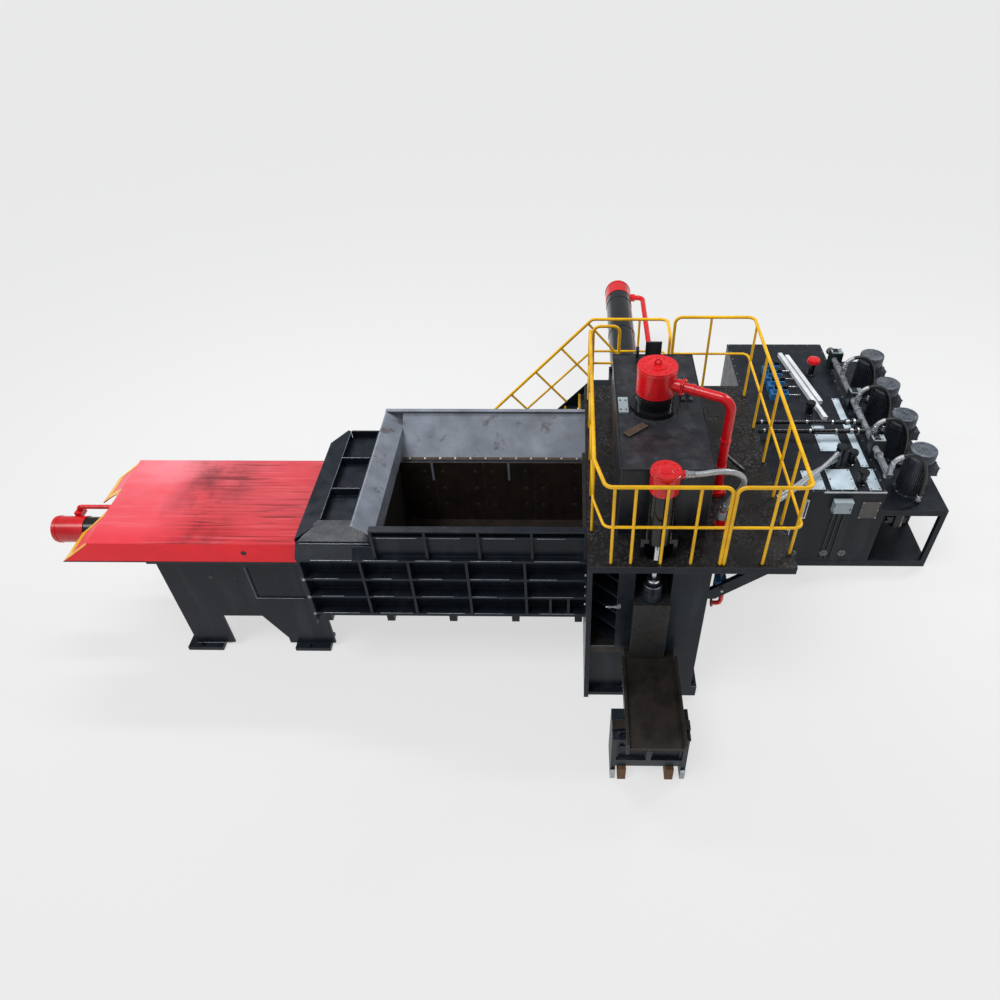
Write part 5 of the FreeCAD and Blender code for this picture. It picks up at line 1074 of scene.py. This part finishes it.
# %% [markdown]
# Bales slide out over the table.  The feet of its front legs are rubbed bright, dark plates close
# its front between the legs, and bolts hold the wings.

# %% Table details
strips = bmesh.new()
for x in (-0.46, 0.395):
    bar(strips, (x, -2.739, 0.0), (x + 0.06, -2.731, 0.2))
piece("table_bright_edges", strips, plated_steel)
panels = bmesh.new()
bar(panels, (-0.402, -2.652, 0.34), (0.397, -2.641, 0.902))
bar(panels, (-0.46, -2.72, 0.826), (-0.305, -2.285, 0.838))
bar(panels, (0.375, -2.72, 0.826), (0.455, -2.285, 0.838))
for x in (-0.4, -0.06, 0.01, 0.36):
    bar(panels, (x, -2.675, 0.36), (x + 0.03, -2.652, 0.9))
bar(panels, (-0.4, -2.675, 0.6), (0.395, -2.652, 0.625))
piece("table_front_panels", panels, leg_enamel, bevel_mm=2)
beads("table_beads", [((x, -2.9, 0.945), (x, -1.62, 0.945)) for x in (-0.28, 0.35)]
      + [((-0.28, -2.898, 0.9), (0.35, -2.898, 0.9))], finish=table_steel)
bolts("table_bolts", [((x, y, 0.9), facing) for x, facing in ((-0.31, LEFTWARD), (0.38, RIGHTWARD))
                      for y in (-2.8, -2.4, -2.0, -1.7)], table_steel, "table_steel", 0.03, 0.014)

# %% [markdown]
# The crown's top plate catches the light along its rim.  Thin painted highlights follow its left,
# front and rear edges, and they're laid with the same tree and finish as the rib edges.

# %% Painted highlights on crown edges
(x0, y0, _), (x1, y1, rim_z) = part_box("press_crown")
rim_z += 0.0005
beads("crown_edge_painted_highlights", [((x0 + 0.004, y0 + 0.02, rim_z), (x0 + 0.004, y1 - 0.03, rim_z)),
                             ((x0 + 0.02, y0 + 0.004, rim_z), (x1 - 0.15, y0 + 0.004, rim_z)),
                             ((x0 + 0.05, y1 - 0.004, rim_z), (x1 - 0.1, y1 - 0.004, rim_z))],
      finish=shine, Throat=0.0035)

# %% [markdown]
# Four induction motors stand on the power unit.  A motor of this size is cast with upright cooling
# fins, which carry heat out of the frame.  A tree copies one fin round a circle, and the circle
# onto each motor's centre.

# %% Motor fins
motor_spots = [(Vector((4.15, FIRST_MOTOR + MOTOR_PITCH * i, 1.16)), UP) for i in range(4)]


def fin_tree():
    tree, given = new_tree("cast_fins", {"Count": 40, "Radius": 0.199, "Height": 0.5, "Lift": 0.34})
    size = add(tree, "ShaderNodeCombineXYZ", 0.022, 0.006, given["Height"])
    fin = add(tree, "GeometryNodeMeshCube", size)
    circle = add(tree, "GeometryNodeMeshCircle", inputs={"Vertices": given["Count"], "Radius": given["Radius"]})
    aim = add(tree, "FunctionNodeAlignRotationToVector", axis="X",
              inputs={"Vector": add(tree, "GeometryNodeInputPosition")})
    ring = add(tree, "GeometryNodeInstanceOnPoints", circle, inputs={"Instance": fin, "Rotation": aim})
    raised = add(tree, "GeometryNodeTransform", ring,
                 inputs={"Translation": add(tree, "ShaderNodeCombineXYZ", inputs={"Z": given["Lift"]})})
    return close_tree(tree, given, add(tree, "GeometryNodeInstanceOnPoints", given["Seeds"],
                                       inputs={"Instance": raised}))


grow("motor_fins", fin_tree(), seeds(motor_spots), motor_enamel, "motor_paint")

# %% [markdown]
# A pressed steel cowl covers each motor's fan.  It is a lathe form with a rounded shoulder and
# pressed rings in its top, and a tree lays a guard of wire rings and spokes over it.  The cowls
# replace the plain packed cans.

# %% Fan cowls
cowls = bmesh.new()
for spot, _ in motor_spots:
    turned(cowls, [(0.1905, 0.0), (0.196, 0.0), (0.196, 0.03), (0.191, 0.034), (0.191, 0.044), (0.196, 0.048),
                   (0.196, 0.1), (0.19, 0.118), (0.176, 0.127), (0.155, 0.13), (0.14, 0.13), (0.138, 0.124),
                   (0.128, 0.124), (0.126, 0.13), (0.1, 0.13), (0.098, 0.125), (0.088, 0.125), (0.086, 0.13),
                   (0.05, 0.13), (0.048, 0.122), (0.0, 0.122)],
           spot + Vector((0, 0, 0.64)), steps=48)
# The cowl's upward faces are laid much paler than its sides, in pale patches.
cowl_enamel = enamel("cowl_enamel_paler_on_top", "#3a4048", worn="#8b9097", dust="#777c83", rough=0.32, dusty=0.9)
piece("fan_cowl_shells", cowls, cowl_enamel, stands_for=("motor_fan_cowls",))


def guard_tree():
    tree, given = new_tree("bend_guards", {"Rings": 4, "Pitch": 0.035, "Wire": 0.003, "Lift": 0.771})
    line = add(tree, "GeometryNodeMeshLine", inputs={"Count": given["Rings"], "Offset": (0, 0, 0)})
    number = add(tree, "ShaderNodeMath", add(tree, "GeometryNodeInputIndex"), 1.0, operation="ADD")
    step = add(tree, "ShaderNodeMath", number, given["Pitch"], operation="MULTIPLY")
    circle = add(tree, "GeometryNodeCurvePrimitiveCircle", inputs={"Resolution": 32, "Radius": 1.0})
    rings = add(tree, "GeometryNodeInstanceOnPoints", line, inputs={
        "Instance": circle, "Scale": add(tree, "ShaderNodeCombineXYZ", step, step, step)})
    section = add(tree, "GeometryNodeCurvePrimitiveCircle", inputs={"Resolution": 6, "Radius": given["Wire"]})
    wires = add(tree, "GeometryNodeCurveToMesh", add(tree, "GeometryNodeRealizeInstances", rings), section)
    spoke = add(tree, "GeometryNodeMeshCube", (0.28, 0.006, 0.003))
    crossed = add(tree, "GeometryNodeJoinGeometry", wires)
    for turn in (0.0, math.pi / 4, math.pi / 2, 3 * math.pi / 4):
        turned_spoke = add(tree, "GeometryNodeTransform", spoke, inputs={"Rotation": (0, 0, turn)})
        tree.links.new(turned_spoke, crossed.node.inputs[0])
    raised = add(tree, "GeometryNodeTransform", crossed,
                 inputs={"Translation": add(tree, "ShaderNodeCombineXYZ", inputs={"Z": given["Lift"]})})
    return close_tree(tree, given, add(tree, "GeometryNodeInstanceOnPoints", given["Seeds"],
                                       inputs={"Instance": raised}))


grow("fan_guards", guard_tree(), seeds(motor_spots), cowl_enamel, "motor_paint")

# %% [markdown]
# Round each motor are its foot bolts, a lifting eye, and a terminal box with a screwed lid and a
# cable gland.

# %% Motor details
motor_bolts, lids = [], bmesh.new()
eyes, glands = bmesh.new(), bmesh.new()
for spot, _ in motor_spots:
    motor_bolts += ring_of(spot + Vector((0, 0, 0.025)), UP, 0.208, 8, 0.3)
    x, y = spot.x + 0.28, spot.y
    bar(lids, (x, y - 0.082, 1.488), (x + 0.006, y + 0.082, 1.642))
    motor_bolts += [((x + 0.006, y + a, z), RIGHTWARD) for a in (-0.07, 0.07) for z in (1.5, 1.63)]
    turned(glands, [(0, 0), (0.018, 0.0), (0.018, 0.02), (0.012, 0.024), (0.012, 0.05), (0.0, 0.05)],
           (spot.x + 0.24, y, 1.49), DOWN, 12)
    rod(eyes, [(spot.x - 0.197, y + 0.022 * math.cos(a), 1.788 + 0.028 * math.sin(a))
               for a in (2 * math.pi * k / 16 for k in range(17))], 0.006, 8)
piece("terminal_box_lids", lids, motor_enamel, bevel_mm=2)
piece("motor_lifting_eyes", eyes, black_enamel)
piece("terminal_box_glands", glands, black_enamel)
bolts("motor_bolts", motor_bolts, plated_steel, "motor_paint", 0.02, 0.012)

# %% [markdown]
# The header is a bright seamless pipe that joins the pumps.  Green steel manifold blocks sit on
# it, and each gets a pale top plate with two small coils and two knobs; the plate's pale tone is a
# painted highlight of the block's lit top.

# %% Header pipe and valves
header = bmesh.new()
turned(header, [(0.044, 0.0), (0.047, 0.002), (0.047, 3.556), (0.044, 3.558)],
       (HEADER_X, 1.101, HEADER_Z), BACKWARD)
for y in (1.14, 1.6, 2.2, 2.75, 3.6, 4.1, 4.62):
    collar(header, 0.046, 0.066, 0.022, (HEADER_X, y, HEADER_Z), BACKWARD, 24)
for i in range(4):
    lane = 1.13 + MOTOR_PITCH * i
    turned(header, [(0.035, 0.0), (0.039, 0.002), (0.039, 0.08), (0.045, 0.085), (0.045, 0.1), (0.035, 0.104)],
           (HEADER_X, lane, HEADER_Z + 0.035), steps=24)
piece("header_pipe_sleeve", header, plated_steel)
tops, coils, knobs = bmesh.new(), bmesh.new(), bmesh.new()
valve_bolts = []
for low in (1.79, 3.08, 4.33):
    bar(tops, (3.548, low + 0.012, 1.809), (3.732, low + 0.158, 1.824))
    for k in range(2):
        y = low + 0.05 + 0.07 * k
        bar(coils, (3.57, y - 0.024, 1.8235), (3.66, y + 0.024, 1.838))
        turned(knobs, [(0, 0), (0.016, 0.0), (0.016, 0.012), (0.0, 0.014)], (3.69, y, 1.8235), steps=16)
    valve_bolts += [((x, y, 1.824), UP) for x in (3.556, 3.724) for y in (low + 0.02, low + 0.15)]
piece("manifold_tops_painted_highlight", tops, pale_enamel, bevel_mm=2)
piece("manifold_coils", coils, black_enamel, bevel_mm=3)
piece("manifold_knobs", knobs, plated_steel)
bolts("manifold_bolts", valve_bolts, plated_steel, "manifold", 0.014, 0.008)

feeds = bmesh.new()
for y, x, port in ((2.455, 1.55, 1.3), (2.22, 1.75, 1.08)):
    collar(feeds, 0.045, 0.062, 0.03, (3.46, y, HEADER_Z), LEFTWARD, 24)
    collar(feeds, 0.036, 0.05, 0.05, (3.37, y, HEADER_Z), LEFTWARD, 24)
    collar(feeds, 0.034, 0.07, 0.025, (0.65, port, HEADER_Z), RIGHTWARD, 24)
    for clamp in (2.0, 2.7, 3.1):
        collar(feeds, 0.034, 0.04, 0.03, (clamp, y, HEADER_Z), RIGHTWARD, 24)
piece("feed_pipe_collars", feeds, plated_steel)

# %% [markdown]
# The tank's lid is crowded: black canister filters, a red breather, blue valve blocks, two pale
# cable trays and a post where the column hoses start.  Detailed forms replace the plain ones.

# %% Tank lid fittings
LID = 1.51
cans = bmesh.new()
for x, y in ((3.24, 1.66), (3.27, 1.18), (2.9, 2.96)):
    turned(cans, [(0, 0), (0.075, 0.0), (0.075, 0.015), (0.062, 0.02), (0.062, 0.15), (0.066, 0.155),
                  (0.066, 0.165), (0.062, 0.17), (0.07, 0.175), (0.075, 0.18), (0.075, 0.215), (0.068, 0.228),
                  (0.0, 0.23)], (x, y, LID), steps=36)
turned(cans, [(0, 0), (0.08, 0.0), (0.08, 0.02), (0.05, 0.03), (0.05, 0.24), (0.0, 0.24)],
       (3.19, 4.15, LID))
turned(cans, [(0, 0), (0.08, 0.0), (0.08, 0.03), (0.066, 0.04), (0.066, 0.34), (0.072, 0.35), (0.072, 0.37),
              (0.0, 0.37)], (3.01, 1.59, LID))
piece("lid_canisters", cans, black_enamel, stands_for=("tank_top_fittings",))
cap = bmesh.new()
turned(cap, [(0, 0), (0.1, 0.0), (0.11, 0.01), (0.11, 0.05), (0.1, 0.07), (0.06, 0.085), (0.0, 0.09)],
       (3.19, 4.15, LID + 0.24), steps=40)
piece("breather_cap", cap, red_enamel)
blocks, coils, lines = (bmesh.new() for _ in range(3))
for y in (3.35, 3.6, 3.85, 4.1):
    bar(blocks, (2.35, y, LID), (2.65, y + 0.15, LID + 0.12))
    bar(blocks, (2.39, y + 0.02, LID + 0.12), (2.61, y + 0.13, LID + 0.19))
    for x in (2.4, 2.53):
        bar(coils, (x, y + 0.035, LID + 0.19), (x + 0.08, y + 0.115, LID + 0.255))
    rod(lines, [(2.65, y + 0.075, LID + 0.06), (2.8, y + 0.075, LID + 0.06), (2.84, y + 0.09, LID + 0.05),
                (2.86, y + 0.12, LID + 0.03)], 0.014)
piece("lid_valve_blocks", blocks, blue_enamel, bevel_mm=3)
piece("lid_valve_coils", coils, black_enamel, bevel_mm=4)
piece("lid_valve_lines", lines, plated_steel)
trays = bmesh.new()
for (x0, y0), (x1, y1) in (((2.74, 4.77), (3.087, 2.77)), ((2.85, 4.7), (3.112, 3.23))):
    slab(trays, [(x0, y0, LID), (x0 + 0.062, y0, LID), (x1 + 0.062, y1, LID), (x1, y1, LID)], (0, 0, 0.068))
    slab(trays, [(x0 - 0.004, y0, LID + 0.062), (x0 + 0.066, y0, LID + 0.062), (x1 + 0.066, y1, LID + 0.062),
                 (x1 - 0.004, y1, LID + 0.062)], (0, 0, 0.013))
white_enamel = enamel("white_tray_enamel", "#d8dcdf", worn="#9fa3a6", dust="#b9bcbe", rough=0.4, wear=0.25)
piece("lid_cable_trays", trays, white_enamel, bevel_mm=2)
hatches = bmesh.new()
hatch_bolts = []
for x0, x1, y0, y1 in ((2.87, 3.21, 1.95, 2.37), (2.82, 3.17, 1.03, 1.49), (3.38, 3.48, 1.56, 3.39),
                       (2.45, 2.72, 1.03, 1.45), (3.36, 3.52, 1.02, 1.5), (2.87, 3.05, 2.42, 2.6)):
    bar(hatches, (x0 - 0.006, y0 - 0.006, LID + 0.006), (x1 + 0.006, y1 + 0.006, LID + 0.014))
    hatch_bolts += [((x, y, LID + 0.014), UP) for x in (x0 + 0.02, x1 - 0.02)
                    for y in (y0 + 0.02, (y0 + y1) / 2, y1 - 0.02)]
# The hatch plates are pale plates whose light blue tone is a painted reflection.
lid_plate_painted_reflection = enamel("pale_lid_plates_painted_reflection", "#b9c9d3", worn="#8d989f", dust="#a4b0b7", rough=0.24, wear=0.3,
                      dusty=0.3, coat=0.3)
piece("lid_hatch_plates", hatches, lid_plate_painted_reflection, bevel_mm=2)
x0, x1, y0, y1 = 1.93, 3.57, 1.01, 5.17
for k in range(18):
    y = y0 + (y1 - y0) * k / 17
    hatch_bolts += [((x0, y, LID), UP), ((x1, y, LID), UP)]
for k in range(1, 8):
    x = x0 + (x1 - x0) * k / 8
    hatch_bolts += [((x, y0, LID), UP), ((x, y1, LID), UP)]
bolts("lid_bolts", hatch_bolts, plated_steel, "unit_paint", 0.018, 0.009)

# %% [markdown]
# On the tank's front hang a pale junction box with a hinged door, a cover panel, two sight glasses
# in bright frames and three round inspection covers with a ring of bolts.

# %% Tank front fittings
FRONT = 0.98
box = bmesh.new()
bar(box, (2.86, FRONT - 0.1, 1.18), (3.13, FRONT, 1.385))
bar(box, (2.868, FRONT - 0.11, 1.188), (3.122, FRONT - 0.102, 1.377))
bar(box, (2.855, FRONT - 0.108, 1.381), (3.135, FRONT, 1.39))
piece("junction_box", box, pale_enamel, bevel_mm=3, stands_for=("tank_front_fittings",))
panel = bmesh.new()
bar(panel, (3.3, FRONT - 0.012, 1.02), (3.56, FRONT, 1.33))
bar(panel, (3.32, FRONT - 0.016, 1.04), (3.54, FRONT - 0.012, 1.31))
panel_enamel = enamel("brown_grey_panel_enamel", "#55524f", worn="#a09a94", dust="#6b6662", rough=0.5, wear=0.4)
piece("tank_cover_panel", panel, panel_enamel, bevel_mm=2)
frames, glass, details, covers = bmesh.new(), bmesh.new(), bmesh.new(), bmesh.new()
for x, low, high in ((2.47, 1.02, 1.37), (2.3, 0.56, 0.8)):
    for side in (x - 0.006, x + 0.034):
        bar(frames, (side, FRONT - 0.025, low), (side + 0.012, FRONT, high))
    for end in (low, high - 0.02):
        bar(frames, (x - 0.006, FRONT - 0.028, end), (x + 0.046, FRONT, end + 0.02))
    bar(glass, (x + 0.006, FRONT - 0.018, low + 0.02), (x + 0.034, FRONT, high - 0.02))
piece("sight_glass_frames", frames, white_enamel, bevel_mm=2)
piece("sight_glasses", glass, black_enamel)
turned(details, [(0, 0), (0.012, 0.0), (0.012, 0.01), (0.0, 0.012)], (3.1, FRONT - 0.11, 1.27), FORWARD, 16)
for z in (1.2, 1.34):
    rod(details, [(2.864, FRONT - 0.108, z - 0.02), (2.864, FRONT - 0.108, z + 0.02)], 0.006, 8)
for x in (2.92, 3.0, 3.08):
    turned(details, [(0, 0), (0.016, 0.0), (0.016, 0.018), (0.01, 0.022), (0.01, 0.04), (0.0, 0.04)],
           (x, FRONT - 0.05, 1.18), DOWN, 12)
    rod(details, [(x, FRONT - 0.05, 1.15), (x, FRONT - 0.045, 1.05), (x, FRONT - 0.014, 0.95),
                  (x, FRONT - 0.012, 0.26), (x, FRONT - 0.012, 0.15)], 0.007, 8)
piece("junction_box_glands", details, black_enamel)
port_bolts = [((x, FRONT - 0.012, z), FORWARD) for x in (3.312, 3.548) for z in (1.032, 1.175, 1.318)]
for x in (2.48, 2.96, 3.24):
    turned(covers, [(0, 0), (0.06, 0.0), (0.06, 0.016), (0.054, 0.02), (0.03, 0.02), (0.028, 0.03),
                    (0.0, 0.033)], (x, FRONT, 0.3), FORWARD)
    port_bolts += ring_of((x, FRONT - 0.019, 0.3), FORWARD, 0.043, 6)
piece("inspection_covers", covers, panel_enamel)
bolts("tank_front_bolts", port_bolts, plated_steel, "box_pale", 0.016, 0.008)
edge = bmesh.new()
bar(edge, (2.7, FRONT - 0.004, 1.488), (3.598, FRONT + 0.004, 1.514))
piece("tank_top_weld_strip", edge, white_enamel, bevel_mm=2)
beads("tank_beads", [((1.9, FRONT, 1.5), (3.6, FRONT, 1.5)), ((1.9, FRONT, 0.12), (3.6, FRONT, 0.12)),
                     ((3.6, FRONT, 0.12), (3.6, FRONT, 1.5)), ((1.9, FRONT, 0.12), (1.9, FRONT, 1.5)),
                     ((1.9, 5.2, 1.5), (3.6, 5.2, 1.5)), ((1.9, 0.98, 1.5), (1.9, 5.2, 1.5))],
      finish=unit_enamel, Throat=0.006)

# %% [markdown]
# Under the stand each pump's bell housing and the split flanges on its ports get their bolts.

# %% Pump details
pump_bolts = []
for spot, _ in motor_spots:
    pump_bolts += ring_of((spot.x, spot.y, 0.855), DOWN, 0.125, 8)
    for side in (-1, 1):
        pump_bolts += [((spot.x + side * 0.16, spot.y + a, 0.595 + b), (side, 0, 0))
                       for a in (-0.04, 0.04) for b in (-0.04, 0.04)]
bolts("pump_bolts", pump_bolts, plated_steel, "fitting_paint", 0.022, 0.012)

# %% [markdown]
# The stair's treads are folded from chequer plate.  A tree sets a thin ribbed nosing on every
# tread, a bright bar that a boot can feel.

# %% Tread nosings
GOING, STAIR_RISE = 0.215, 2.42
tread_seeds = [(Vector((-0.635 - i * GOING, 2.22, STAIR_RISE - 0.02 - i * STAIR_RISE / 11)), UP)
               for i in range(1, 11)]


def nosing_tree():
    tree, given = new_tree("set_nosings", {"Length": 0.53, "Ribs": 3})
    size = add(tree, "ShaderNodeCombineXYZ", 0.006, given["Length"], 0.006)
    rib = add(tree, "GeometryNodeMeshCube", size)
    row = add(tree, "GeometryNodeMeshLine", inputs={"Count": given["Ribs"], "Offset": (0.012, 0, 0)})
    ribs = add(tree, "GeometryNodeInstanceOnPoints", row, inputs={"Instance": rib})
    return close_tree(tree, given, add(tree, "GeometryNodeInstanceOnPoints", given["Seeds"],
                                       inputs={"Instance": ribs}))


grow("tread_nosings", nosing_tree(), seeds(tread_seeds), yellow_enamel, "frame_paint")
